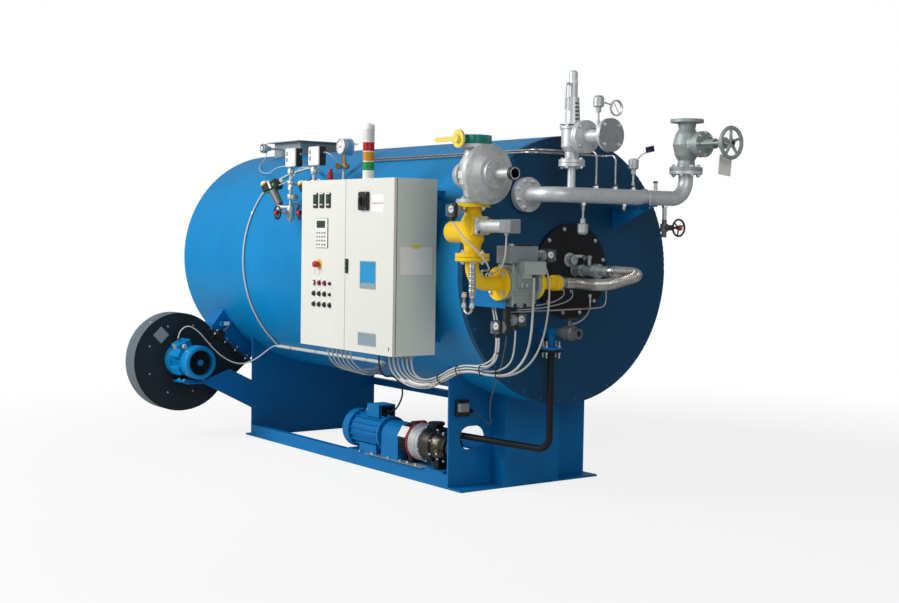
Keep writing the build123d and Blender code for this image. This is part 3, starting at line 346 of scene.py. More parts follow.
plate_grey = paint("blue_grey_plate", "8aa0a6", rough=0.4, coat=0.2, grain_mm=2, drift=0.12)
light_blue = paint("light_blue_enamel", "58aee0", rough=0.35, coat=0.3)
red_enamel = paint("red_enamel", "a5202a", rough=0.35, coat=0.2)
box_grey = paint("pale_grey_box_enamel", "aab1b0", rough=0.45, coat=0.05, grain_mm=3)
dark_blue_tag = paint("dark_blue_tag", "1b2f55", rough=0.35, coat=0.2, grain_mm=2)
print("paints made")

# %% [markdown]
# Bare metals: cast aluminium keeps the sand of its mould, stainless steel is smooth and bright, zinc
# plating on bolts is a little milky, brass is warm, and machined iron is dark with an oily sheen.

# %% Metals
def metal(name, colour, rough=0.35, grain_mm=3, bump=0.1, metallic=1.0, drift=0.12):
    """Metal with a fine cast or plated grain and uneven polish."""
    material, tree, place = new_material(name)
    cloud = noise(tree, place, 30.0, 5.0, 0.6)
    return surface(material, tree, {
        "Base Color": drifting(tree, cloud, colour, drift),
        "Metallic": metallic,
        "Roughness": between(tree, cloud, rough - 0.06, rough + 0.12),
        "Normal": grain(tree, place, grain_mm, bump, 3.0, 1 / 3),
    })


cast_aluminium = metal("cast_aluminium", "bfc3c3", rough=0.46, grain_mm=4, bump=0.25, metallic=0.6)
stainless = metal("stainless_steel", "b9b7b2", rough=0.27, grain_mm=6, bump=0.03)
zinc = metal("zinc_plated_steel", "d2d5d6", rough=0.33, grain_mm=5, bump=0.05)
galvanised = metal("galvanised_steel", "b4bdbd", rough=0.42, grain_mm=12, bump=0.05, metallic=0.7, drift=0.2)
brass = metal("brass", "b08d4f", rough=0.33, grain_mm=5, bump=0.05)
dark_iron = metal("oiled_cast_iron", "3a3735", rough=0.3, grain_mm=5, bump=0.3, metallic=0.7, drift=0.35)
grey_iron = metal("grey_cast_iron", "6f7474", rough=0.5, grain_mm=4, bump=0.3, metallic=0.6)
valve_grey = metal("grey_valve_casting", "a0aaa8", rough=0.5, grain_mm=3, bump=0.25, metallic=0.4)
silver_paint = metal("silver_heat_paint", "d3d7d9", 0.4, grain_mm=4, bump=0.15, metallic=0.45, drift=0.08)
dark_steel = metal("dark_stainless_casing", "57514c", rough=0.28, grain_mm=8, bump=0.04, drift=0.3)
brushed_plate = metal("brushed_steel_plate", "aeb3b5", rough=0.3, grain_mm=2, bump=0.08, drift=0.1)
print("metals made")

# %% [markdown]
# Moulded plastics: a fine spark-eroded texture on covers, smooth gloss on buttons and lamps, and soft
# PVC on the cables. Clear covers are polycarbonate.

# %% Plastics
def plastic(name, colour, rough=0.45, bump=0.1, glow=0.0):
    """Moulded plastic, with a fine mould texture and, where a glow is given, a faint painted glow in its own
    colour.
    """
    material, tree, place = new_material(name)
    inputs = {
        "Base Color": linear(colour),
        "Roughness": between(tree, noise(tree, place, 25.0, 4.0), rough - 0.06, rough + 0.1),
        "Normal": grain(tree, place, 2, bump),
        "IOR": 1.5,
    }
    if glow:
        inputs.update({"Emission Color": linear(colour), "Emission Strength": glow})
    return surface(material, tree, inputs)


black_plastic = plastic("black_polyamide", "16181a", rough=0.42)
grey_plastic = plastic("grey_abs", "8c9190", rough=0.5)
pale_plastic = plastic("pale_grey_abs", "d9dcda", rough=0.45)
white_plastic = plastic("white_abs", "f0f0ec", rough=0.4)
red_plastic = plastic("red_acrylic", "b5121b", rough=0.25)
# Green and amber acrylic get a faint painted glow, the green also on buttons and bases that are no lamps.
green_plastic = plastic("green_acrylic_painted_glow", "17914a", rough=0.25, glow=0.05)
amber_plastic = plastic("amber_acrylic_painted_glow", "c98a12", rough=0.25, glow=0.05)
yellow_plastic = plastic("yellow_abs", "e8b820", rough=0.4)
pale_yellow = plastic("pale_yellow_polyamide", "e9d65a", rough=0.4)
cable_grey = plastic("grey_pvc_cable", "c6c8c3", rough=0.42, bump=0.04)
cable_dark = plastic("dark_grey_pvc_cable", "4d5a5a", rough=0.45, bump=0.04)
cable_black = plastic("black_pvc_cable", "1c1d1f", rough=0.45, bump=0.04)
screen_green = plastic("display_glass", "24432f", rough=0.15, bump=0.0)
material, tree, place = new_material("clear_polycarbonate")
smoky_clear = surface(material, tree, {
    "Base Color": linear("c9d2d6"),
    "Roughness": between(tree, noise(tree, place, 60.0, 3.0), 0.05, 0.2),
    "Transmission Weight": 0.85,
    "IOR": 1.2,
    "Alpha": 0.55,
})
print("plastics made")

# %% [markdown]
# The solids that already have the right shape only need their finish. Each gets the material of the
# real piece in its one material slot.

# %% Finishes of the solids
FINISH = (
    (blue_gloss, "boiler_shell", "rear_plate"),
    # The front plate's darkened blue is painted shade.
    (front_blue_painted_shade, "front_plate"),
    (blue_dark, "front_support", "rear_support", "base_rails", "fan_duct", "wall_brackets"),
    (blue_dark, "feed_nozzle", "pump_motor", "pump_guard"),
    (black_satin, "burner_door", "feed_pipe"),
    (galvanised, "burner_fittings", "instrument_stands"),
    (grey_enamel, "flue_collar"),
    (fan_slate, "fan_housing"),
    (grey_side, "cabinet_body"),
    (grey_powder, "cabinet_door_left", "cabinet_door_right"),
    (silver_paint, "steam_header", "safety_valve", "safety_outlet"),
    (valve_grey, "stop_valve"),
    (cast_aluminium, "instruments", "gas_regulator"),
    (stainless, "small_tubes"),
    (grey_iron, "small_valves"),
    (teal_gloss, "gas_inlet_valve"),
    (pale_yellow, "gas_lever"),
    (yellow_gloss, "gas_shutoff_valve", "gas_fittings"),
    (black_plastic, "ball_valve_handle"),
    (cable_grey, "shell_cable"),
)
for finish, *names in FINISH:
    for name in names:
        cad[name].data.materials.clear()
        cad[name].data.materials.append(finish)
print(len(FINISH), "groups of solids finished")

for name, piece in cords.items():
    jacket = cable_black if name == "pump_cable" else cable_dark if name == "support_cable" else cable_grey
    piece.data.materials.append(jacket)

# %% [markdown]
# The small parts are built as meshes in code. Most of them are turned or boxed forms, so a few helpers do
# nearly all of the work: a frame at a place, a turned form and a box with broken edges. A piece can hold
# several finishes, and each form says which one it takes. Forms that stand together are listed in a table.

# %% Mesh helpers
def spot(origin, direction, turn=0.0):
    """Local frame at a drawing place, with its Z along a direction."""
    z = Vector(direction).normalized()
    side = Z.cross(z)
    x = side.normalized() if side.length > 0.01 else X
    axes = Matrix((x, z.cross(x), z)).transposed().to_4x4()
    return Matrix.Translation(at(*origin)) @ axes @ Matrix.Rotation(math.radians(turn), 4, "Z")


def shift(place, x, y, z, turn=0.0):
    """Frame turned about its own Z, in degrees, and then moved, in millimetres."""
    return place @ Matrix.Rotation(math.radians(turn), 4, "Z") @ Matrix.Translation((x * MM, y * MM, z * MM))


def about_x(x, y, z, radius, degrees):
    """Drawing place on a circle round a line along X."""
    angle = math.radians(degrees)
    return (x, y + radius * math.cos(angle), z + radius * math.sin(angle))


def arc(place, radius, steps, part=1.0):
    """Points in metres at equal steps round a frame's Z, from its X on. The part is 1 for a whole circle."""
    angles = [math.tau * part * i / steps for i in range(steps + 1)]
    return [place @ (Vector((math.cos(a), math.sin(a), 0)) * radius * MM) for a in angles]


def lathe(bm, place, profile, sides=24, finish=0, hollow=False):
    """Turned form about the place's Z, from pairs of distance and radius in millimetres."""
    rings = []
    for distance, radius in profile:
        steps = sides if radius else 1
        ring = []
        for i in range(steps):
            angle = math.tau * i / steps
            local = Vector((radius * math.cos(angle), radius * math.sin(angle), distance))
            ring.append(bm.verts.new(place @ (local * MM)))
        rings.append(ring)
    pairs = list(zip(rings, rings[1:]))
    if hollow:
        pairs.append((rings[-1], rings[0]))
    loops = []
    for low, high in pairs:
        for i in range(sides):
            j = (i + 1) % sides
            loop = [low[i % len(low)], low[j % len(low)], high[j % len(high)], high[i % len(high)]]
            loops.append(list(dict.fromkeys(loop)))
    if not hollow:
        loops += [ring for ring in (rings[0][::-1], rings[-1]) if len(ring) > 2]
    for loop in loops:
        bm.faces.new(loop).material_index = finish


def slab(bm, place, size, edge=2.0, finish=0):
    """Box centred on the place with its edges broken, sizes in millimetres."""
    half = [s / 2 for s in size]
    cut = min(edge, min(half) * 0.9)
    corner = {}
    for signs in product((-1, 1), repeat=3):
        for axis in range(3):
            local = [signs[k] * (half[k] - (0 if k == axis else cut)) for k in range(3)]
            corner[signs, axis] = bm.verts.new(place @ (Vector(local) * MM))
    loops = []
    for axis in range(3):
        b, c = [k for k in range(3) if k != axis]
        for one, two in product((-1, 1), repeat=2):
            signs = [0, 0, 0]
            signs[b], signs[c] = one, two
            ends = []
            for s in (-1, 1):
                signs[axis] = s
                ends.append(tuple(signs))
            loops.append([corner[ends[0], b], corner[ends[1], b], corner[ends[1], c], corner[ends[0], c]])
        for s in (-1, 1):
            around = []
            for one, two in ((-1, -1), (1, -1), (1, 1), (-1, 1)):
                signs = [0, 0, 0]
                signs[axis], signs[b], signs[c] = s, one, two
                around.append(corner[tuple(signs), axis])
            loops.append(around)
    for signs in product((-1, 1), repeat=3):
        loops.append([corner[signs, axis] for axis in range(3)])
    for loop in loops:
        bm.faces.new(loop).material_index = finish


def forms(bm, rows):
    """Boxes from sizes and turned forms from profiles, in rows. A row starts with a frame, or with a place
    and a direction. After the size or profile come the edge or number of sides, the finish, and True for
    a hollow form."""
    for first, *rest in rows:
        place = first if isinstance(first, Matrix) else spot(first, rest.pop(0))
        draw = lathe if isinstance(rest[0], list) else slab
        draw(bm, place, *rest)


def make(name, bm, finishes, body="boiler", smooth=35, node=None):
    """Turn the mesh into a piece with its finishes. It rides on a body and may stand for a solid."""
    bmesh.ops.recalc_face_normals(bm, faces=bm.faces)
    mesh = bpy.data.meshes.new(name)
    bm.to_mesh(mesh)
    bm.free()
    for finish in finishes:
        mesh.materials.append(finish)
    mesh.shade_smooth()
    mesh.set_sharp_from_angle(angle=math.radians(smooth))
    piece = bpy.data.objects.new(name, mesh)
    scene.collection.objects.link(piece)
    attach(piece, body)
    if node:
        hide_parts(node)
    print(name, len(mesh.polygons), "faces")


# %% [markdown]
# A flanged joint is read by its bolts. Each is a hexagon head on a washer, with the end of the stud where
# one stands out. The same ring of bolts serves every joint, so it takes the middle of the joint, its
# direction, half of what the bolts grip, the bolt circle and the size across the flats.

# %% Bolts of the flanged joints
def bolt(bm, place, across, stud=0, finish=0):
    """Hexagon head on its washer."""
    radius = across / 2 / math.cos(math.pi / 6)
    high = across * 0.42
    lathe(bm, place, [(-0.5, across * 0.68), (1.6, across * 0.68)], 14, finish)
    lathe(bm, place, [(1.6, radius), (high, radius), (high + 1.6, radius * 0.86)], 6, finish)
    if stud:
        end = high + stud
        lathe(bm, place, [(high, across * 0.3), (end, across * 0.3), (end + 1, across * 0.22)], 10, finish)


def bolt_ring(bm, origin, direction, circle, count, across, stud=0, start=45.0, finish=0):
    """Bolts on a circle, with their heads along a direction."""
    middle = spot(origin, direction)
    for i in range(count):
        angle = math.radians(start + 360 * i / count)
        out = Vector((math.cos(angle), math.sin(angle), 0)) * circle * MM
        bolt(bm, middle @ Matrix.Translation(out), across, stud, finish)


JOINTS = [
    ((33, -365, 1775), X, 21, 80, 8, 24, 6, 22.5),
    ((268, 690, 1946), Z, 21, 80, 8, 24, 6, 22.5),
    ((268, -234, 1954), Z, 19, 60, 4, 20, 5, 20.0),
    ((377, -234, 2098), X, 19, 76, 4, 20, 6, 45.0),
    ((285, -945, 1709), Z, 21, 72.5, 4, 22, 8, 10.0),
    ((285, -945, 1420), Z, 21, 72.5, 4, 22, 8, 10.0),
    ((285, -746, 1276), Y, 24, 72.5, 4, 22, 6, 45.0),
    ((285, -524, 1276), Y, 21, 72.5, 4, 22, 6, 45.0),
    ((90, -207, 879), Z, 15, 54, 4, 18, 26, 20.0),
]
bolts = bmesh.new()
for middle, direction, grip, circle, count, across, stud, start in JOINTS:
    for way in (1, -1):
        end = Vector(middle) + direction * grip * way
        bolt_ring(bolts, end, direction * way, circle, count, across, stud, start if way > 0 else -start)
make("flange_bolts", bolts, [zinc])

cover_bolts = bmesh.new()
for ring in (
    ((418, 690, 2102), X, 66, 8, 17, 4, 0.0),
    ((268, -234, 2161), Z, 61, 4, 17, 8, 20.0),
    ((421, -945, 1861), X, 152, 14, 10, 0, 10.0),
    ((397, -945, 1861), -X, 152, 14, 10, 4, -10.0),
    ((489, -945, 1861), X, 64, 6, 11, 0, 30.0),
    ((25, 0, AXIS_Z), X, 256, 12, 17, 0, 15.0),
):
    bolt_ring(cover_bolts, *ring)
make("cover_bolts", cover_bolts, [zinc])

# %% [markdown]
# The insulation casing of the front plate is held by small domed screws near its rim.

# %% Rim screws of the front plate
screws = bmesh.new()
for degrees in range(5, 360, 10):
    place = about_x(0, 0, AXIS_Z, SHELL_R - 24, degrees)
    lathe(screws, spot(place, X), [(-0.5, 6.5), (1.2, 6.3), (3.2, 4.2), (4.2, 0)], 10)
make("casing_screws", screws, [blue_dark])

# %% [markdown]
# The gas hose is a corrugated stainless bellows. Real corrugations stand about 8 mm apart. Rings are set
# along a smooth line through the hose's route, and their radius rises and falls once for each corrugation.

# %% Forms along a line
def smooth_line(points, step):
    """Points at equal steps in metres along the smooth curve of a route in millimetres."""
    holder = bpy.data.objects.new("line", nurbs("line", points, 24))
    mesh = bpy.data.meshes.new_from_object(holder)
    raw = [v.co.copy() for v in mesh.vertices]
    bpy.data.objects.remove(holder)
    bpy.data.meshes.remove(mesh)
    spaced = [raw[0]]
    for target in raw[1:]:
        while (target - spaced[-1]).length >= step:
            spaced.append(spaced[-1] + (target - spaced[-1]).normalized() * step)
    return spaced


def sweep(bm, line, thick, sides=16, finish=0):
    """Round form along a line. Its radius in millimetres is one number, or follows from the point's index."""
    tangent = (line[1] - line[0]).normalized()
    side = tangent.orthogonal().normalized()
    rings = []
    for i, point in enumerate(line):
        ahead = line[min(i + 1, len(line) - 1)] - line[max(i - 1, 0)]
        turn = tangent.rotation_difference(ahead.normalized())
        side = (turn @ side).normalized()
        tangent = ahead.normalized()
        other = tangent.cross(side)
        radius = (thick(i) if callable(thick) else thick) * MM
        ring = []
        for k in range(sides):
            angle = math.tau * k / sides
            ring.append(bm.verts.new(point + (side * math.cos(angle) + other * math.sin(angle)) * radius))
        rings.append(ring)
    for low, high in zip(rings, rings[1:]):
        for i in range(sides):
            j = (i + 1) % sides
            bm.faces.new((low[i], low[j], high[j], high[i])).material_index = finish
    bm.faces.new(rings[0][::-1]).material_index = finish
    bm.faces.new(rings[-1]).material_index = finish


HOSE = [
    (285, -329, 1276), (285, -249, 1276), (365, -139, 1264), (475, -124, 1272),
    (560, -99, 1294), (596, -9, 1324), (530, 14, 1339), (340, 14, 1339),
]
PITCH = 8
WAVE = (30.0, 32.2, 33.5, 32.2)
PLAIN_STEPS = 26
hose_line = smooth_line(HOSE, PITCH * MM / len(WAVE))
far_end = len(hose_line) - PLAIN_STEPS
hose = bmesh.new()
sweep(hose, hose_line, lambda i: WAVE[i % len(WAVE)] if PLAIN_STEPS <= i <= far_end else 31, 28)
lathe(hose, spot(HOSE[0], Y), [(-1, 43), (4, 43), (5, 34.5), (46, 34.5), (48, 32)])
lathe(hose, spot(HOSE[-1], X), [(-1, 34), (38, 34), (40, 32)])
make("gas_hose_bellows", hose, [stainless], smooth=60, node="gas_hose")

# %% [markdown]
# The vent line below the slam-shut valve is a thin tube inside a long spring, with two unions and a
# U-bend under it.

# %% Vent spring and unions
vent = bmesh.new()
TURNS, STEPS = 15, 14
SPRING_TOP, SPRING_LONG, SPRING_R = 1392, 160, 18.5
coil = []
for i in range(TURNS * STEPS + 1):
    angle = math.tau * i / STEPS
    z = SPRING_TOP - SPRING_LONG * i / (TURNS * STEPS)
    coil.append(at(355 + SPRING_R * math.cos(angle), -995 + SPRING_R * math.sin(angle), z))
sweep(vent, coil, 2.6, 6)
for z, x in product((1206, 1150), (355, 285)):
    lathe(vent, spot((x, -995, z), Z), [(0, 14), (16, 14), (17, 11), (26, 11)], 6)
make("vent_spring", vent, [zinc])

# %% [markdown]
# The signal tower is a stack of moulded rings. Its lenses are ribbed acrylic: clear, red, amber and green
# from the top, each between white rims.

# %% Signal tower
tower = bmesh.new()
base_place = spot((-744, -950, 1854), Z)
lathe(tower, base_place, [(0, 41.5), (7, 41.5), (9, 34.5), (50, 34.5), (54, 35)], 32)
for start, end, finish in ((57, 108, 1), (113, 167, 2), (172, 224, 3), (229, 298, 4)):
    rib = (end - start) / 9
    profile = [(start - 1, 33.2)]
    for i in range(9):
        low, high = start + i * rib, start + (i + 1) * rib
        profile += [(low + 0.8, 34.6), (high - 0.8, 34.6), (high, 33.6)]
    forms(tower, (
        (base_place, profile, 32, finish),
        (base_place, [(start - 4, 35), (start, 35)], 32),
        (base_place, [(end - 0.5, 35), (end + 2, 35)], 32),
    ))
lathe(tower, base_place, [(298, 35), (318, 35), (326, 33), (330, 30), (332, 12), (337.5, 10)], 32)
make(
    "signal_tower_rings", tower, [white_plastic, green_plastic, amber_plastic, red_plastic, pale_plastic],
    node="signal_tower",
)

# %% [markdown]
# The left door carries the operating controls. They are panel-mounted parts of moulded plastic: three
# meters with dark green windows, a controller with a small display and a keypad, the red stop button on
# its yellow disc and three rows of buttons, each with a bare label plate above it.

# %% Left door controls
DOOR_FACE = -1096.6
STOP = (-1056, 1344)
SWITCH = (-550, 1724)
SWITCH_OUT = 22.3


def on_door(x, z, out=0.0):
    """Frame on the doors' front: X along the door, Y up and Z towards the viewer."""
    return spot((x, DOOR_FACE - out, z), -Y)


panel = bmesh.new()
for x in (-1101, -1027, -951):
    forms(panel, (
        (on_door(x, 1732, 4), (47, 91, 9)),
        (on_door(x, 1746, 8.5), (37, 46, 2), 0.6, 1),
        (on_door(x, 1772.5, 8.8), (41, 7, 2), 0.6, 3),
    ))
    for k in (-12, 0, 12):
        slab(panel, on_door(x + k, 1706, 9), (8, 9, 3), 1, 3)
forms(panel, (
    (on_door(-1024, 1534, 3), (141, 181, 7), 2.5, 2),
    (on_door(-1024, 1534, 6.4), (135, 175, 1.6), 0.6, 3),
    (on_door(-1028, 1587, 8), (98, 44, 3), 1.5, 1),
))
for row, column in product(range(4), range(4)):
    finish = 6 if row == column == 3 else 2
    slab(panel, on_door(-1073 + column * 30, 1536 - row * 24, 8), (19, 12, 3), 1.2, finish)
for row, z in enumerate((1230, 1164, 1099)):
    for column, x in enumerate((-1111, -1049, -987, -925)):
        finish = (3, 4, 4, 0)[column] if row == 0 else 0
        if column == 3 and row < 2:
            lathe(panel, on_door(x, z), [(0, 11.5), (2, 11.5), (3, 9), (13, 8.5), (14, 7)], 20)
            continue
        forms(panel, (
            (on_door(x, z), [(0, 16.5), (3, 16.5), (4, 14.5), (9, 14)]),
            (on_door(x, z, 8), [(0, 11.5), (5, 11.2), (7, 9), (7.5, 0)], 24, finish),
            (on_door(x, z + 25, 1), (26, 12, 2.4), 0.6, 3),
        ))
forms(panel, (
    (on_door(*STOP), [(0, 31.5), (2.5, 31.5), (3.5, 29)], 28, 5),
    (on_door(*STOP), [(3, 15), (16, 15), (18, 20), (33, 20), (40, 17), (43, 10), (44, 0)], 28, 4),
    (on_door(-1068, 1301, 22), (6, 30, 1.5), 0.6, 7),
))
make(
    "left_door_panel", panel,
    [black_plastic, screen_green, grey_plastic, white_plastic,
     red_plastic, yellow_plastic, green_plastic, zinc],
    "left_door", node="left_door_controls",
)

# %% [markdown]
# The right door has the main switch on its square plate, a swing lock, and bare plates where the real
# one has its labels.

# %% Right door controls
panel = bmesh.new()
slab(panel, on_door(*SWITCH, 8), (99, 107, 17), 4)
slab(panel, on_door(*SWITCH, 18.6), (88, 96, 6.6), 3)
for dx, dz in product((-40, 40), (-44, 44)):
    lathe(panel, on_door(SWITCH[0] + dx, SWITCH[1] + dz, 21), [(0, 4.5), (0.9, 4)], 12, 3)
slab(panel, on_door(-734, 1343, 6), (24, 84, 13), 3)
for z in (1316, 1343, 1370):
    lathe(panel, on_door(-734, z, 12), [(0, 7), (1.7, 6.4)], 16, 2)
forms(panel, (
    (on_door(-413, 1711, 0.8), (124, 100, 1.6), 0.5, 1),
    (on_door(-413, 1711, 1.7), (116, 4, 0.8), 0.2, 4),
    (on_door(-509, 1297, 1.2), (170, 162, 2.4), 0.8, 3),
    (on_door(-509, 1297, 2.2), (158, 150, 1.6), 0.4, 5),
    (on_door(-509, 1236, 3), (158, 27, 1.4), 0.4, 6),
    (on_door(-511, 923, 1.2), (192, 76, 2.4), 0.8, 3),
    (on_door(-511, 923, 2.2), (182, 66, 1.4), 0.4, 6),
    (on_door(-282, 884, 0.8), (7, 20, 1.6), 0.6),
))
make(
    "right_door_panel", panel,
    [black_plastic, white_plastic, green_plastic, zinc,
     red_plastic, plate_blue, plate_grey],
    "right_door", node="right_door_controls",
)

handle = bmesh.new()
forms(handle, (
    (on_door(*SWITCH, SWITCH_OUT), [(0, 29.5), (6, 29), (7.5, 27)], 32),
    (on_door(*SWITCH, SWITCH_OUT + 15), (17, 57, 17), 4),
    (on_door(-550, 1748, SWITCH_OUT + 23.4), (3, 8, 1), 0.3, 1),
))
make(
    "main_switch_grip", handle, [black_plastic, white_plastic],
    "main_switch", node="main_switch_handle",
)

# %% [markdown]
# A sheet of paper hangs on the cabinet's side by a strip of yellow tape. It is bare here. Thin sheets curl a
# little, so the paper is a small grid whose lower corners stand off the steel. Cable glands stand in a row
# under the cabinet, and a black seal runs beside the door.

# %% Paper on the cabinet's side, and the glands under it
sheet = bmesh.new()
columns, rows = 8, 10
grid = []
for r in range(rows + 1):
    line = []
    for c in range(columns + 1):
        y = -1053 + 222 * c / columns
        z = 1464 - 159 * r / rows
        lift = 0.6 + 5 * (r / rows) ** 3 * (0.4 + abs(c / columns - 0.4))
        line.append([sheet.verts.new(at(-247 + lift + t, y, z)) for t in (0, 0.3)])
    grid.append(line)
for r in range(rows):
    for c in range(columns):
        cell = (grid[r][c], grid[r][c + 1], grid[r + 1][c + 1], grid[r + 1][c])
        sheet.faces.new([v[1] for v in cell])
        sheet.faces.new([v[0] for v in cell][::-1])
border = [(0, c) for c in range(columns)] + [(r, columns) for r in range(rows)]
border += [(rows, c) for c in range(columns, 0, -1)] + [(r, 0) for r in range(rows, 0, -1)]
for (r, c), (r2, c2) in zip(border, border[1:] + border[:1]):
    sheet.faces.new((grid[r][c][0], grid[r2][c2][0], grid[r2][c2][1], grid[r][c][1]))
slab(sheet, spot((-246.2, -945, 1466), X), (62, 22, 0.8), 0.2, 1)
make("cabinet_paper", sheet, [white_plastic, pale_yellow])

glands = bmesh.new()
for x in (-1198, -1146, -1094, -1042, -990, -938, -620, -510, -464, -418, -372, -326, -280):
    under = spot((x, -940, 843), -Z)
    forms(glands, (
        (under, [(-0.5, 15), (4, 15)], 8),
        (under, [(4, 14), (15, 14), (16, 12)], 6),
        (under, [(16, 11.5), (24, 11.3), (27, 9.6)], 14),
    ))
for place, direction in (((-2975, -1125, 736), Z), ((-414, -403, 470), Y)):
    lathe(glands, spot(place, direction), [(0, 14), (8, 14), (9, 11), (14, 10)], 8, 1)
slab(glands, spot((-246.9, -1076, 1348.5), X), (4.2, 1004, 0.8), 0.2, 1)
make("cabinet_glands", glands, [grey_plastic, black_plastic])

# %% [markdown]
# Gas pressure switches have a round cast base, a square black body and a clear cover over the setting
# dial, with a plug connector at one side. The two level switches are white boxes with a black back, and
# the switch on the stand is a grey lid on a black case.

# %% Pressure switches
def gas_switch(bm, x, y, z, face, neck):
    """One gas pressure switch on its neck, along Y. Where it faces the shell, its cover is in front."""
    place = spot((x, y, z), (0, face, 0))
    lathe(bm, place, [(-0.5, 9), (neck - 8, 9), (neck - 7, 14), (neck, 14)], 12, 3)
    base = [(0, 26), (3, 31.5), (9, 31.5), (10, 29), (16, 29), (17, 31.5), (28, 31.5)]
    lathe(bm, shift(place, 0, 0, neck), base, 28, 3)
    if face > 0:
        middle = y + neck + 54
        slab(bm, spot((x, middle, z), X), (54, 79, 62), 5)
        cover, wide, dial, out = (x + 42, middle, z + 2), 52, (x + 31, middle, z + 6), X
    else:
        slab(bm, shift(place, 0, 0, neck + 38), (67, 79, 21), 5)
        cover, wide, dial, out = (x, y - neck - 58, z), 58, (x, y - neck - 48, z + 6), -Y
    forms(bm, (
        (cover, out, (wide, 66, 24), 6, 1),
        (dial, out, [(0, 19), (3, 19), (4, 17)], 24, 5),
        (dial, out, [(4, 4), (6, 3)], 12),
        (shift(spot(dial, out, 30), 7, 0, 5), (16, 3, 1.4), 0.4),
        (shift(place, 0, -47, neck + 40), (26, 20, 26), 3),
    ))


switches = bmesh.new()
for y, z, face, neck in (
    (-991.3, 1668, -1, 50), (-531, 1428, 1, 58), (-718, 1036, -1, 6), (-682, 1074, 1, 6),
):
    gas_switch(switches, 285, y, z, face, neck)
slab(switches, spot((285, -700, 1073), Z), (30, 34, 149))
for x in (-1845, -1545):
    slab(switches, spot((x + 36.5, -843, 2027.5), -Y), (124, 120, 46), 3)
    slab(switches, spot((x + 36.5, -873, 2027.5), -Y), (125, 121, 14), 4, 5)
    for z in (2052, 2012):
        slab(switches, spot((x - 2, -880, z), -Y), (14, 27, 1.6), 0.5)
    lathe(switches, spot((x + 99, -835, 2050), X), [(-1, 9), (6, 9), (7, 7), (14, 6.5)], 12, 3)
forms(switches, (
    ((-429, -458, 490), X, (92, 99, 30), 4),
    ((-399, -470, 498), X, (66, 52, 30), 3, 2),
    ((-414, -412, 470), Y, [(-1, 9), (11, 9)], 12),
))
make(
    "pressure_switch_cases", switches,
    [black_plastic, smoky_clear, grey_plastic,
     grey_enamel, red_plastic, white_plastic],
    node="pressure_switches",
)

# %% [markdown]
# The fan motor has a finned casing and a cowl with a slotted guard over its own small fan, and a terminal
# box that leans outwards. The pump's motor shows the same kind of guard: rings and bars over a black disc
# that is painted shade for the opening behind them, with a dished centre. It also has its terminal box, a
# lifting eye and the bolts of its feet.

# %% Motors
fan_drive = bmesh.new()
drive = spot((-3100, -1050, 588), X)
lathe(fan_drive, drive, [(0.5, 124), (16, 124), (18, 116), (30, 104), (44, 99), (262, 99)], 48)
for i in range(36):
    slab(fan_drive, shift(drive, 105, 0, 146, 10 * i), (16, 3, 212), 0.8)
cowl = [(250, 119), (254, 121), (334, 121), (344, 117), (350, 108)]
cowl += [(350, 92), (344, 90), (300, 90), (300, 96), (250, 96)]
forms(fan_drive, (
    (drive, cowl, 48, 0, True),
    (drive, [(262, 90), (300, 90)], 32, 1),
    (drive, [(300, 24), (336, 22), (338, 0)]),
))
for i in range(7):
    slab(fan_drive, shift(drive, 50, 0, 316, 360 * i / 7) @ Matrix.Rotation(0.5, 4, "X"), (58, 4, 26), 1, 1)
for i in range(24):
    slab(fan_drive, shift(drive, 56, 0, 345, 15 * i), (70, 1.6, 2), 0.4, 1)
to_side = Matrix.Rotation(math.pi / 2, 4, "Y")
for angle in (0.8, 2.4, 3.9, 5.5):
    screw = shift(drive, 120, 0, 296, math.degrees(angle)) @ to_side
    lathe(fan_drive, screw, [(0, 8), (3, 8), (4, 5), (4.4, 0)], 12, 2)
lid = spot((-2975, -1096, 700), Z) @ Matrix.Rotation(math.radians(25), 4, "X")
to_front = Matrix.Rotation(math.pi / 2, 4, "X")
forms(fan_drive, (
    (shift(lid, 0, 0, -8), (126, 96, 54), 4),
    (shift(lid, 0, 0, 24), (132, 102, 14), 4),
    (shift(lid, -14, -51.4, 22), (58, 1, 9), 0.3, 3),
    (shift(lid, -20, -48.6, -8), (52, 1.6, 34), 0.4, 3),
    (shift(lid, -36, -48, -14) @ to_front, [(0, 15), (7, 15), (8, 12), (15, 12)], 8, 1),
    (shift(lid, 24, -48, -14) @ to_front, [(0, 15), (7, 15), (8, 12), (15, 12)], 8, 1),
    (shift(lid, 63, -14, 0) @ to_side, [(0, 19), (9, 19), (10, 15), (17, 15), (17, 10), (4, 10)], 20, 4),
))
for side in (-1, 1):
    slab(fan_drive, shift(drive, -124, 0, 180, 28 * side), (40, 62, 126), 4)
slab(fan_drive, spot((-2920, -1050, 447), Z), (122, 176, 15), 3)
for x, side in product((-2960, -2880), (-1, 1)):
    bolt(fan_drive, spot((x, -1050 + 72 * side, 454), Z), 15, 4, 2)
make(
    "fan_motor_cast", fan_drive, [blue_gloss, black_satin, zinc, yellow_plastic, pale_plastic],
    node="fan_motor",
)
motors = bmesh.new()
guard = spot((-1612, -450, 232), -X)
GUARD_R = 96
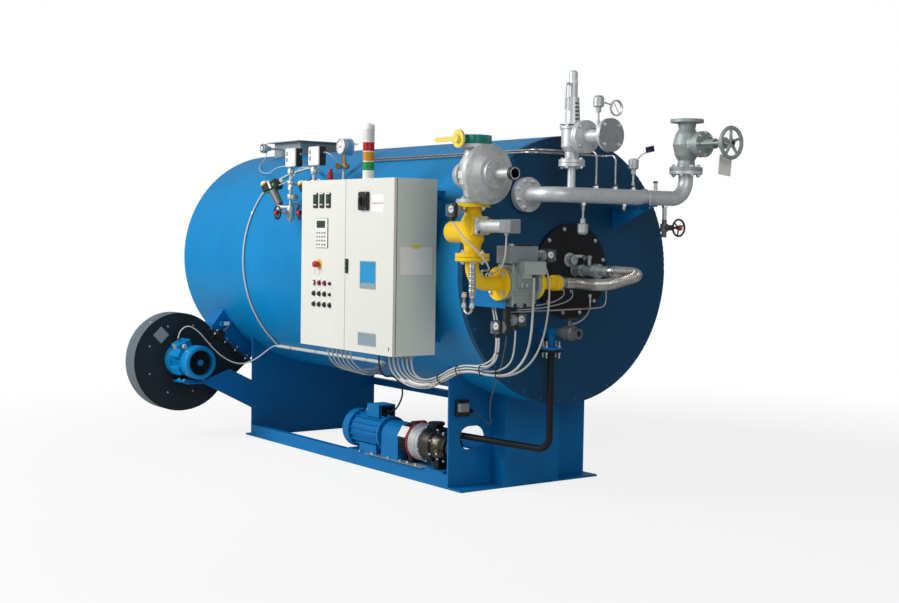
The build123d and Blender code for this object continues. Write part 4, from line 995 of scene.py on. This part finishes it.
# A thin black disc under the guard's rings is painted shade for the opening behind them.
lathe(motors, guard, [(0.3, GUARD_R), (0.8, GUARD_R)], 40)
for r in range(18, GUARD_R, 12):
    lathe(motors, guard, [(0.6, r), (2.6, r), (2.6, r + 3), (0.6, r + 3)], 40, 1, hollow=True)
for i in range(8):
    slab(motors, shift(guard, GUARD_R / 2 + 6, 0, 1.8, 45 * i), (GUARD_R - 16, 3.4, 2.2), 0.5, 1)
forms(motors, (
    (guard, [(0.5, 20), (3.4, 17), (4.0, 0)], 24, 1),
    ((-1331, -445, 413), Z, (142, 134, 8), 3, 2),
    ((-1258, -445, 372), X, (104, 66, 9), 4),
    ((-1480, -450, 340), Z, [(-1, 12), (6, 12), (7, 7), (14, 7)], 12, 4),
))
sweep(motors, arc(spot((-1480, -450, 366), -Y), 13, 16), 3.5, 8, 4)
for y, x in product((-556, -344), (-1416, -1264)):
    bolt(motors, spot((x, y, 98), Z), 15, 3, 4)
make("motor_fittings", motors, [black_plastic, black_satin, blue_gloss, yellow_plastic, zinc])

# %% [markdown]
# The fan's side sheet is screwed to its scroll, and a bare square plate sits on it, turned on its corner.
# The flanges of its throat are clamped by studs.

# %% Fan details
fan = bmesh.new()
SHAFT = (-1050, 588)
for i in range(8):
    place = about_x(-3100, *SHAFT, 262, 45 * i + 22.5)
    lathe(fan, spot(place, X), [(-0.5, 8), (2, 8), (6, 6.5), (7, 0)], 12)
slab(fan, spot((-3099.4, -1202, 769), X, 45), (88, 88, 2.4), 0.6, 1)
tongue = Vector(about_x(0, *SHAFT, 328, 42)[1:])
throat = Vector((-483, 555))
along = (throat - tongue).normalized()
out = Vector((-along.y, along.x))
for share in (0.12, 0.38, 0.64, 0.9):
    for way in (-1, 1):
        p = tongue.lerp(throat, share) + out * (8 * way)
        for x in (-3088, -3262):
            bolt(fan, spot((x, p.x, p.y), (0, out.x * way, out.y * way)), 15, 8)
for degrees in (100, 128, 158):
    place, outward = about_x(-3150, *SHAFT, 347, degrees), about_x(0, 0, 0, 1, degrees)
    lathe(fan, spot(place, outward), [(-6, 7), (1, 7), (3, 4), (3.4, 0)], 10)
make("fan_screws", fan, [zinc, grey_enamel])

# %% [markdown]
# The burner door has a sight glass in its bolted ring, and the gas tube that enters it has three collars.

# %% Burner fittings
burner = bmesh.new()
sight = spot((73, -25, 1400), X)
lathe(burner, sight, [(-1, 27), (2, 27), (3.5, 24), (3.5, 17), (-2, 16.5)], 28)
lathe(burner, sight, [(-3, 17), (-1.5, 16.6)], 24, 1)
bolt_ring(burner, (55, -25, 1400), X, 33, 3, 9, 0, 30.0)
lathe(burner, spot((25, -25, 1400), X), [(-1, 42), (8, 42), (9, 40)], 28)
for start, length in ((30, 8), (96, 10), (330, 14)):
    lathe(burner, spot((start, 14, 1339), X), [(0, 34), (length, 34)], 28)
make("burner_rings", burner, [galvanised, black_plastic])

# %% [markdown]
# The three small hand wheels have a red cap in their hub.

# %% Wheel caps
for name, body, origin, direction in (
    ("drain_wheel_cap", "drain_wheel_body", (388, 515, 1599), X),
    ("rear_stand_cap", "rear_stand_wheel", (-1845, -950, 1662), -Y),
    ("front_stand_cap", "front_stand_wheel", (-1545, -950, 1662), -Y),
):
    cap = bmesh.new()
    lathe(cap, spot(origin, direction), [(8, 17), (16, 17), (19, 14), (20.5, 0)], 20)
    lathe(cap, spot(origin, direction), [(20, 4.5), (21.5, 4.5), (22, 3.6)], 6, 1)
    make(name, cap, [red_plastic, zinc], body)

# %% [markdown]
# The pressure gauge has a white dial with ticks and a black pointer under glass, in a steel case with a
# light blue ring at its back. Its brass manifold and red handle are below it, a small second gauge is at the
# level stand, the flue's sensor has a pale cap, and the stands carry turned valve bodies.

# %% Gauges
gauge = bmesh.new()
dial = spot((-1625, -600, 2106), -Y)
lathe(gauge, dial, [(-1, 52.6), (4, 52.6), (5, 50), (5, 47), (1, 47)], 40)
lathe(gauge, dial, [(0.2, 46.8), (1.2, 46.8)], 40, 1)
for i in range(31):
    long, wide = (9, 1.6) if i % 5 == 0 else (5, 0.8)
    slab(gauge, shift(dial, 38, 0, 1.5, 225 - 9 * i), (long, wide, 0.8), 0.1, 2)
forms(gauge, (
    (shift(dial, 13, 0, 2.6, 200), (44, 2.4, 0.8), 0.2, 2),
    (dial, [(1, 5), (4, 4.5)], 16, 2),
    ((-1625, -572, 2106), Y, [(0, 54), (34, 54), (44, 57), (44, 52.5), (0, 52.2)], 40, 3, True),
))
forms(gauge, (
    ((-1640, -600, 1978), X - Y, [(0, 19), (20, 21), (32, 21), (38, 16)], 14, 4),
    ((-1625, -550, 1978), X - Y, [(0, 19), (20, 21), (32, 21), (38, 16)], 14, 4),
    ((-1625, -575, 1996), Z, [(0, 16), (14, 16), (16, 13), (48, 13), (50, 10)], 6, 4),
    ((-1587, -700, 1878), Z, [(0, 14), (4, 17), (52, 17), (56, 13), (76, 12), (76, 0)], 16, 5),
    ((-3067.5, -366, 2160), -Y,
     [(0, 31), (4, 36), (12, 36), (13, 31), (22, 31), (24, 36), (36, 36), (39, 30)], 28, 6),
    ((-3067.5, -405, 2160), -Y, [(0, 20), (3, 19), (3.4, 0)], 28, 7),
))
small = spot((-1800, -885, 1830), -Y)
forms(gauge, (
    (small, [(-14, 21), (0, 21), (2, 22), (3, 20), (3, 18), (0.5, 18)], 28),
    (small, [(0.2, 18), (0.9, 18)], 28, 1),
    (shift(small, 5, 0, 1.4, math.degrees(0.9)), (18, 1.4, 0.6), 0.1, 2),
    ((-1845, -866, 1830), X, [(0, 6), (45, 6)], 12),
))
for x in (-1845, -1545):
    for z, high in ((1912, 40), (1846, 30), (1752, 34)):
        lathe(gauge, spot((x, -850, z), Z), [(0, 20), (4, 23), (high - 4, 23), (high, 20)], 8, 6)
    lathe(gauge, spot((x + 20, -850, 1764), X), [(0, 15), (30, 15), (31, 22), (46, 22), (48, 16)], 12, 6)
    lathe(gauge, spot((x, -850, 1662), Z), [(-46, 21), (-30, 27), (30, 27), (46, 21)], 12, 6)
make(
    "gauge_dials", gauge,
    [zinc, white_plastic, black_plastic, light_blue, brass, red_plastic, galvanised, pale_plastic],
)

# %% [markdown]
# The teal ring of the gas cock has four threaded lugs for its long bolts. A black ring closes the end of
# the regulator's barrel.

# %% Lugs of the gas cock, and the regulator's end ring
lugs = bmesh.new()
for i in range(4):
    lug = shift(spot((285, -945, 2026), Z), 76, 0, 0, 45 + 90 * i)
    lathe(lugs, lug, [(0.5, 18), (3, 19), (42, 19), (45.5, 17)], 20)
    lathe(lugs, lug, [(45, 9), (45.8, 9)], 16, 1)
make("gas_cock_lugs", lugs, [teal_gloss, dark_iron])

spout = bmesh.new()
lathe(spout, spot((606, -945, 1861), X), [(0, 29), (4, 33.5), (30.5, 33.5), (30.9, 31), (31, 26)], 32)
make("regulator_spout_ring", spout, [black_plastic])

# %% [markdown]
# The gas valve block is a grey casting between two round flanges. Its front has ribs, black screws and a
# bare plate. A tall steel box stands on it with a black plug on top, and a smaller pale box is in front.

# %% Gas valve block
block = bmesh.new()
for y in (-742, -545):
    lathe(block, spot((285, y, 1276), Y), [(0, 91), (2, 92.5), (18, 92.5), (20, 91)], 40)
lathe(block, spot((285, -722, 1276), Y), [(0, 60), (178, 60)], 32)
slab(block, spot((285, -633.5, 1267), Z), (143, 168, 236), 10)
for z, high in ((1372, 10), (1352, 6), (1232, 8), (1212, 5), (1192, 5), (1172, 5)):
    slab(block, spot((357.5, -633.5, z), X), (158, high, 9))
slab(block, spot((360, -640, 1290), X), (96, 78, 12), 4)
for y in (-664, -628):
    lathe(block, spot((365, y, 1268), X), [(0, 15), (9, 15), (12, 12), (14, 5)], 20)
slab(block, spot((366.4, -640, 1312), X), (70, 16, 1.2), 0.3, 5)
for y in (-702, -633, -566):
    bolt(block, spot((357, y, 1158), X), 15, 0, 3)
    bolt(block, spot((357, y, 1376), X), 11, 0, 3)
slab(block, spot((285, -632.5, 1434), Z), (119, 201, 96), 3, 1)
slab(block, spot((285, -632.5, 1476), Z), (121, 203, 11), 2, 1)
for y, z in product((-722, -543), (1396, 1466)):
    lathe(block, spot((344.5, y, z), X), [(0, 4), (2, 3.6), (2.6, 0)], 12, 4)
forms(block, (
    ((288, -590, 1490), Z, (52, 88, 17), 5, 3),
    ((285, -676, 1480), Z, [(0, 17), (12, 17), (15, 13), (16, 0)], 20, 4),
    ((386, -606, 1363), X, (152, 73, 58), 4, 2),
    ((379, -650, 1322), X, (62, 26, 42), 3, 2),
    ((415.6, -606, 1363), X, (140, 61, 1.6), 0.5, 2),
    ((400, -607, 1330), -Z, [(0, 12), (8, 12), (9, 9), (18, 8.6)], 12, 3),
))
make(
    "gas_valve_block_cast", block, [valve_grey, grey_enamel, box_grey, black_plastic, zinc, pale_plastic],
    node="gas_valve_block",
)

# %% [markdown]
# The slam-shut valve's actuator is a square cast flange, a turned barrel and a square end cap. Each level
# switch stand has a black inclined drive with a white stripe, a yellow and white knob and a green base, on
# a neck that runs down to its valve.

# %% Actuators
drives = bmesh.new()
slab(drives, spot((365, -945, 1588), X), (88, 92, 30), 5)
for dy, dz in product((-33, 33), (-34, 34)):
    finish = 2 if dy * dz > 0 else 5
    lathe(drives, spot((380, -945 + dy, 1588 + dz), X), [(0, 8), (1, 8), (1.4, 6)], 12, finish)
forms(drives, (
    ((378, -945, 1588), X,
     [(0, 38), (10, 38), (12, 33.5), (60, 34), (62, 36), (76, 36), (78, 34), (180, 34)], 28),
    ((604, -945, 1588), X, (73, 73, 92), 5, 8),
    ((650.4, -945, 1588), X, (60, 60, 1.6), 0.5, 8),
    ((575, -945, 1556), -Z, [(0, 12), (8, 12), (9, 9.5), (19, 8.6)], 12, 5),
))
for x, y, foot in ((-2010, -900, (-1922, -888, 1716)), (-1666, -812, (-1622, -860, 1716))):
    tilt = spot((x, y, 1842), Z, 35) @ Matrix.Rotation(math.radians(-24), 4, "Y")
    forms(drives, (
        (tilt, (128, 84, 58), 12, 2),
        (shift(tilt, 40, 0, -4), (44, 90, 74), 14, 2),
        (shift(tilt, 2, -2, 31), (14, 88, 5), 1, 3),
        (shift(tilt, 2, -44, 6), (14, 3, 52), 1, 3),
        (shift(tilt, -6, -4, -31), (84, 66, 9), 3, 6),
        (shift(tilt, 30, -44, -6) @ to_front, [(0, 9), (4, 9), (5, 7)], 16, 6),
        (shift(tilt, -44, -8, 26), [(0, 26), (6, 27), (12, 27)], 24, 4),
        (shift(tilt, -44, -8, 38), [(0, 24), (8, 22), (15, 14), (18, 0)], 24, 3),
        (shift(tilt, 66, 2, 4) @ to_side, [(0, 13), (10, 13), (12, 9), (20, 8)], 14, 3),
    ))
    top = at(x + 22, y, 1806)
    neck = [top.lerp(at(*foot), share) for share in (0, 0.3, 0.7, 1.0)]
    sweep(drives, neck, lambda i: (31, 29, 27, 24)[i], 18, 7)
    lathe(drives, spot(foot, Z), [(-34, 20), (-30, 24), (-6, 24), (0, 20)], 18, 9)
    pipe = [(foot[0] - 4, foot[1], 1704), (foot[0] + 30, foot[1], 1700), (foot[0] + 74, -852, 1700)]
    sweep(drives, [at(*point) for point in pipe], 13, 14, 9)
make(
    "actuator_drives", drives,
    [cast_aluminium, valve_grey, black_plastic, white_plastic, yellow_plastic,
     zinc, green_plastic, grey_iron, brushed_plate, galvanised],
    node="valve_actuators",
)

# %% [markdown]
# The feed pump is a multistage one. From the coupling it has a black ribbed drum with a bare plate, a red
# ring, a silver casing with a ring of bolts, and a dark end cover. It stands on a grey plate that is
# bolted down, with feet, a brass plug and a flanged neck on top.

# %% Feed pump
pump_mesh = bmesh.new()
shaft = spot((-985, -450, 232), X)
lathe(pump_mesh, shaft, [(0, 62), (4, 88), (10, 98), (112, 100), (118, 96)], 36)
for i in range(24):
    slab(pump_mesh, shift(shaft, 104, 0, 62, 15 * i), (14, 5, 96), 1.2)
forms(pump_mesh, (
    (shift(shaft, 112.6, 0, 62, 148), (1.4, 74, 84), 0.4, 5),
    (shaft, [(118, 114), (120, 121.5), (134, 121.5), (136, 114)], 40, 1),
    (shaft,
     [(136, 108), (138, 118), (212, 119), (216, 113), (222, 113), (224, 122), (244, 122), (246, 114)], 40, 6),
    (shaft, [(246, 112), (290, 110), (330, 104), (336, 116), (352, 116), (356, 104)], 40, 2),
    (shaft, [(356, 102), (392, 96), (424, 84), (436, 70), (440, 78), (458, 78), (460, 60), (470, 52)], 40, 2),
))
for i in range(14):
    bolt(pump_mesh, shift(shaft, 117, 0, 245, 360 * (i + 0.5) / 14), 12, 6, 3)
for i in range(8):
    bolt(pump_mesh, shift(shaft, 108, 0, 352, 45 * (i + 0.5)), 15, 8, 3)
    lathe(pump_mesh, shift(shaft, 92, 0, 404, 45 * (i + 0.5)), [(0, 11), (14, 11), (16, 8)], 6, 3)
lathe(pump_mesh, spot((-560, -536, 216), -Y), [(0, 13), (14, 13), (15, 9), (24, 9)], 6, 4)
slab(pump_mesh, spot((-1010, -538, 97.5), Z), (640, 66, 3), 1, 7)
for x in (-1290, -1100, -960, -880, -790):
    bolt(pump_mesh, spot((x, -545, 99), Z), 14, 4, 3)
for x in (-880, -600):
    slab(pump_mesh, spot((x, -450, 128), Z), (46, 150, 58), 5)
    for y in (-512, -388):
        bolt(pump_mesh, spot((x, y, 157), Z), 15, 4, 3)
forms(pump_mesh, (
    ((-700, -450, 330), Z, [(0, 42), (22, 44), (26, 52), (40, 52), (43, 49)], 32),
    ((-890, -450, 338), Z, (64, 92, 34), 6),
    ((-846, -450, 352), Z, [(0, 18), (10, 18), (13, 13), (14, 0)], 20, 1),
))
make(
    "feed_pump_casing", pump_mesh,
    [black_satin, red_enamel, dark_steel, zinc,
     brass, white_plastic, cast_aluminium, galvanised],
    node="pump",
)

# %% [markdown]
# Hand wheels are cast: the rim is round in section, the spokes are flat and bend back to a thick hub, and a
# nut holds the hub on its square.

# %% Hand wheels
def cast_wheel(name, origin, direction, radius, rim, hub, spokes, dish, finishes, slot, body, node):
    """Cast hand wheel: rim, dished spokes, hub and nut."""
    wheel = bmesh.new()
    place = spot(origin, direction)
    sweep(wheel, arc(place, radius - rim, 60), rim, 12)
    start, reach, top = hub * 0.5, radius - rim - hub * 0.5, rim * 1.2
    for i in range(spokes):
        turn = shift(place, 0, 0, 0, 360 * i / spokes + 20)
        line = []
        for step in range(7):
            share = step / 6
            bend = dish * math.sin(math.pi * share) * 0.5
            line.append(turn @ (Vector((start + reach * share, bend, -dish * (1 - share) ** 2)) * MM))
        sweep(wheel, line, lambda i: rim * (0.85 - 0.03 * i), 10)
    lathe(wheel, place, [(-top, hub * 0.9), (-rim * 0.9, hub), (rim * 0.9, hub), (top, hub * 0.86)])
    lathe(wheel, place, [(top, hub * 0.55), (top + 3, hub * 0.55), (top + 4, hub * 0.45)], 6, 1)
    make(name, wheel, finishes, body, smooth=50, node=node)


iron, black = ([valve_grey, black_plastic], "grey_iron"), ([black_plastic, zinc], "black_paint")
for name, place, direction, sizes, look, body, node in (
    ("stop_wheel_cast", (625, 690, 2102), X, (100, 12, 24, 5, 4), iron, "stop_wheel", "stop_valve_wheel"),
    ("drain_wheel_cast", (388, 515, 1599), X, (55, 6, 13, 3, 2), black, "drain_wheel_body", "drain_wheel"),
    ("rear_wheel_cast", (-1845, -950, 1662), -Y, (48, 6, 14, 3, 2), black,
     "rear_stand_wheel", "stand_wheel_rear"),
    ("front_wheel_cast", (-1545, -950, 1662), -Y, (48, 6, 14, 3, 2), black,
     "front_stand_wheel", "stand_wheel_front"),
):
    cast_wheel(name, place, direction, *sizes, *look, body, node)

# %% [markdown]
# Small fittings of the steam header: hexagon nipples where each stub leaves the pipe, a U-bolt over the
# bracket, coloured bare tags on their straps, union nuts on the impulse tubes, and the ring-shaped siphon
# beside the sensor.

# %% Header fittings
fittings = bmesh.new()
for y, z in ((-44, 1829), (106, 1833), (250, 1831)):
    lathe(fittings, spot((268, y, 1817), Z), [(0, 16), (14, 16), (15, 13)], 6)
    lathe(fittings, spot((268, y, z), Z), [(0, 14.5), (12, 14.5), (13, 11)], 6, 1)
for y in (-140, 179, 515):
    lathe(fittings, spot((268, y, 1733), -Z), [(0, 17), (14, 17), (15, 14)], 6)
lathe(fittings, spot((268, 435, 1863), Z), [(0, 15), (10, 15), (12, 12), (13, 0)], 6, 1)
lathe(fittings, spot((268, 179, 1701), -Z), [(0, 13), (12, 13), (14, 10), (15, 0)], 6, 1)
hoop = arc(spot((268, 343, 1775), -Y), 49, 16, 0.5)
sweep(fittings, [at(317, 343, 1712), *hoop, at(219, 343, 1712)], 4.5, 10)
for x, z in product((219, 317), (1720, 1731)):
    lathe(fittings, spot((x, 343, z), -Z), [(0, 9), (7, 9)], 6)
forms(fittings, (
    (spot((383, 268, 2052), X, 12), (70, 35, 1.6), 0.5, 2),
    (spot((560, 713, 1972), X, -6), (108, 118, 1.2), 0.3, 3),
    (spot((560, 700, 2044), X, 12), (14, 46, 1.2), 0.3, 3),
    ((345, 640, 2096), (1, -0.5, 0), (36, 30, 1.2), 0.3, 3),
    ((268, 250, 1985), Z, [(0, 31), (3, 31.5), (8, 31.5), (10, 30)], 24, 4),
    ((268, 690, 2256.8), Z, [(0, 46), (0.6, 60), (0.6, 46)], 40, 4),
))
sweep(fittings, [at(284, 250, 1984), at(330, 254, 2022), at(383, 262, 2046)], 5, 8, 4)
coil = []
for i in range(61):
    turn = math.tau * i / 24
    coil.append(at(482 + i * 0.25, -106 + 42 * math.cos(turn), 2260 + 42 * math.sin(turn)))
sweep(fittings, coil, 4.2, 8, 4)
slab(fittings, spot((490, -106, 2260), X, 35), (4, 76, 3), 0.8, 2)
sweep(fittings, [at(483, -212, 2290), at(485, -190, 2284), at(488, -146, 2276)], 5, 8, 4)
make(
    "header_fittings", fittings,
    [zinc, dark_steel, dark_blue_tag, white_plastic, silver_paint],
)

# %% [markdown]
# The blind flange on the safety valve's outlet is machined and brushed, and the safety valve has its
# seal nut, cap and lever pin.

# %% Safety valve trim
trim = bmesh.new()
face = spot((588, -234, 2098), X)
lathe(trim, face, [(-1, 92.8), (6, 92.8), (8, 91), (8, 0)], 48, 1)
bolt_ring(trim, (596, -234, 2098), X, 76, 4, 19, 6)
forms(trim, (
    ((268, -234, 2156), Z, [(0, 73), (5, 73)], 32, 2),
    ((268, -234, 2170), Z, [(0, 73), (5, 73)], 32, 2),
    ((268, -234, 2404), Z, [(0, 27), (14, 27), (15, 22)], 6, 2),
    ((268, -234, 2446), Z, [(0, 25), (8, 25), (9, 22), (22, 21), (26, 14)], 24, 2),
    ((254, -262, 2401), -Y, [(0, 6), (6, 6), (7, 4)], 10),
))
make("safety_valve_trim", trim, [zinc, brushed_plate, silver_paint])

# %% [markdown]
# The regulator has a round bolted cap at its back and a bare plate on its casing.

# %% Regulator cap
cap = bmesh.new()
lathe(cap, spot((285, -945, 1861), -X), [(60, 74), (78, 74), (84, 70), (104, 66), (110, 58), (112, 0)], 36)
bolt_ring(cap, (201, -945, 1861), -X, 62, 6, 10, 0, 0.0, 1)
slab(cap, spot((285, -1024, 1861), -Y), (64, 40, 2), 0.5, 2)
make("regulator_cap", cap, [cast_aluminium, zinc, pale_plastic])

# %% [markdown]
# Thin tubes serve the burner. They are formed steel tubes that keep their shape: one comes down from the
# burner tube to the ball valve's branch, one runs along the front plate, and two thin ones leave the door.
# The ignition lead comes from its plug beside the sight glass.

# %% Burner tubes
tubes = bmesh.new()
lathe(tubes, spot((120, 60, 1198), -Z), [(0, 12), (16, 12), (17, 9), (26, 9)], 6, 1)
TUBE_STEP = 8 * MM
for radius, sides, finish, route in (
    (6.5, 12, 0, [(120, 60, 1196), (120, 66, 1141), (165, 10, 1092),
                  (205, -60, 1062), (238, -140, 1040), (250, -207, 1032)]),
    (6.0, 12, 0, [(25, 190, 1284), (80, 192, 1284), (108, 197, 1262), (110, 200, 1180), (110, 194, 1128),
                  (110, 150, 1114), (112, 60, 1113), (112, -100, 1110), (114, -360, 1106), (116, -560, 1102),
                  (150, -640, 1098), (232, -676, 1090), (268, -676, 1090)]),
    (3.6, 8, 2, [(25, -80, 1226), (58, -78, 1214), (66, -110, 1176),
                 (62, -180, 1150), (40, -290, 1132), (0, -380, 1125)]),
    (3.6, 8, 2, [(25, -10, 1212), (62, -12, 1200), (76, -60, 1158),
                 (70, -170, 1132), (44, -290, 1114), (0, -392, 1108)]),
    (3.4, 8, 4, [(60, 66, 1404), (62, 62, 1372), (60, 20, 1318),
                 (58, -21, 1287), (50, -60, 1262), (25, -62, 1250)]),
):
    sweep(tubes, smooth_line(route, TUBE_STEP), radius, sides, finish)
for place in ((0, -380, 1125), (0, -392, 1108), (25, -62, 1250), (25, -80, 1226), (25, -10, 1212)):
    lathe(tubes, spot(place, X), [(-0.5, 10), (9, 10), (10, 7.5), (18, 7)], 6, 1)
lathe(tubes, spot((25, 190, 1284), X), [(-0.5, 13), (12, 13), (13, 10), (22, 10)], 6, 1)
plug = [at(60, -17, 1421), at(60, 36, 1421), at(60, 60, 1419), at(60, 66, 1402)]
sweep(tubes, plug, lambda i: (9, 9, 9, 7)[i], 14, 3)
make("burner_tubes", tubes, [stainless, galvanised, cable_grey, pale_plastic, cable_dark])

# %% [markdown]
# Air enters the boiler through a damper box on the fan duct, with a bare label and its shaft's end below.

# %% Damper of the fan duct
damper = bmesh.new()
forms(damper, (
    ((-3086, -688, 838), X, (92, 40, 34), 3),
    ((-3068.6, -690, 840), X, (46, 28, 1.6), 0.4, 1),
    ((-3101, -738, 760), X, [(0, 36), (30, 36), (34, 32), (36, 14), (48, 14)], 28, 2),
    (spot((-3096, -700, 786), X, 40), (96, 16, 8), 2, 3),
))
make("duct_damper", damper, [blue_dark, white_plastic, dark_iron, zinc])

# %% [markdown]
# Cables are bundled by black ties, and clips hold the shell cable.

# %% Ties and clips
ties = bmesh.new()
for middle, along, wide, high in (
    ((-120, -850, 716), (1, 0.25, 0.55), 52, 56),
    ((8, -819, 776), (0.94, 0.28, 0.2), 52, 56),
    ((152, -770, 788), (0.85, 0.42, 0.1), 52, 56),
    ((236, -724, 772), (0.83, 0.55, 0.11), 50, 52),
    ((229, -716, 890), (0.1, 0.1, 1), 44, 30),
):
    place = spot(middle, along)
    squash = Matrix.Diagonal((wide / 2, high / 2, 1, 1))
    sweep(ties, arc(place @ squash, 1, 24), 3.6, 8)
    slab(ties, shift(place, wide / 2, 0, 0), (8, 9, 7), 1.5)
for x in (-2400, -2050, -1700, -1400):
    lathe(ties, spot(about_x(x, 0, AXIS_Z, SHELL_R + 12.3, -129), X), [(-6, 13.6), (6, 13.6)], 20, 1)
for degrees in (156, 200):
    place, round_shell = about_x(-2590, 0, AXIS_Z, SHELL_R + 8, degrees), about_x(0, 0, 0, 1, degrees + 90)
    lathe(ties, spot(place, round_shell), [(-7, 9), (7, 9)], 16, 1)
make("ties_and_clips", ties, [black_plastic, zinc])

# %% [markdown]
# A plain studio: a pale floor that keeps the shadow, a white backdrop, one big soft lamp from the left
# where the photograph's light comes from, and a weaker one from the front.

# %% Studio
def floor_material():
    """Pale matt floor that the camera sees a little brighter than the lamps make it."""
    material, tree, place = new_material("studio_floor")
    matt = add(tree, "BsdfDiffuse", {"Color": linear("dcdcdc")})
    glow = add(tree, "Emission", {"Color": linear("ffffff"), "Strength": 1.0})
    seen = add(tree, "LightPath").outputs["Is Camera Ray"]
    far = add(tree, "VectorMath", {0: place}, operation="LENGTH")
    fading = {"Value": far.outputs["Value"], "From Min": 3.0, "From Max": 6.0, "To Min": 0.84, "To Max": 1.0}
    fade = add(tree, "MapRange", fading)
    share = add(tree, "Math", {0: seen, 1: fade.outputs["Result"]}, operation="MULTIPLY")
    mix = add(tree, "MixShader", {"Fac": share.outputs[0], 1: matt.outputs[0], 2: glow.outputs[0]})
    return close(material, tree, mix)


floor_mesh = bpy.data.meshes.new("floor")
corners = [(x * 30, y * 30, 0) for x, y in ((-1, -1), (1, -1), (1, 1), (-1, 1))]
floor_mesh.from_pydata(corners, [], [(0, 1, 2, 3)])
floor = bpy.data.objects.new("floor", floor_mesh)
scene.collection.objects.link(floor)
floor_mesh.materials.append(floor_material())

world = bpy.data.worlds.new("studio")
scene.world = world
world.use_nodes = True
sky = world.node_tree
sky.nodes.clear()
path = add(sky, "LightPath")
mirrored = add(sky, "Math", {0: path.outputs["Is Glossy Ray"], 1: 0.25}, operation="MULTIPLY")
seen = add(sky, "Math", {0: path.outputs["Is Camera Ray"], 1: mirrored.outputs[0]}, operation="MAXIMUM")
seen = add(sky, "Math", {0: seen.outputs[0], 1: path.outputs["Is Transmission Ray"]}, operation="MAXIMUM")
level = add(sky, "MapRange", {"Value": seen.outputs[0], "To Min": 0.17, "To Max": 1.0})
backdrop = add(sky, "Background", {"Color": linear("ffffff"), "Strength": level.outputs["Result"]})
add(sky, "OutputWorld", {"Surface": backdrop.outputs[0]})


def lamp(name, place, aim, size, power):
    """Square soft lamp that looks at a point."""
    light = bpy.data.lights.new(name, "AREA")
    light.shape = "SQUARE"
    light.size = size
    light.energy = power
    holder = bpy.data.objects.new(name, light)
    scene.collection.objects.link(holder)
    turn = (place - aim).to_track_quat("Z", "Y").to_matrix().to_4x4()
    holder.matrix_world = Matrix.Translation(place) @ turn


MIDDLE = at(-1600, 0, 1200)
lamp("key_lamp", Vector((-3.2, -8.0, 5.5)), MIDDLE, 5.0, 760)
lamp("front_lamp", Vector((7.5, -3.0, 4.5)), MIDDLE, 4.0, 160)
scene.view_settings.view_transform = "Standard"
print("studio lit")
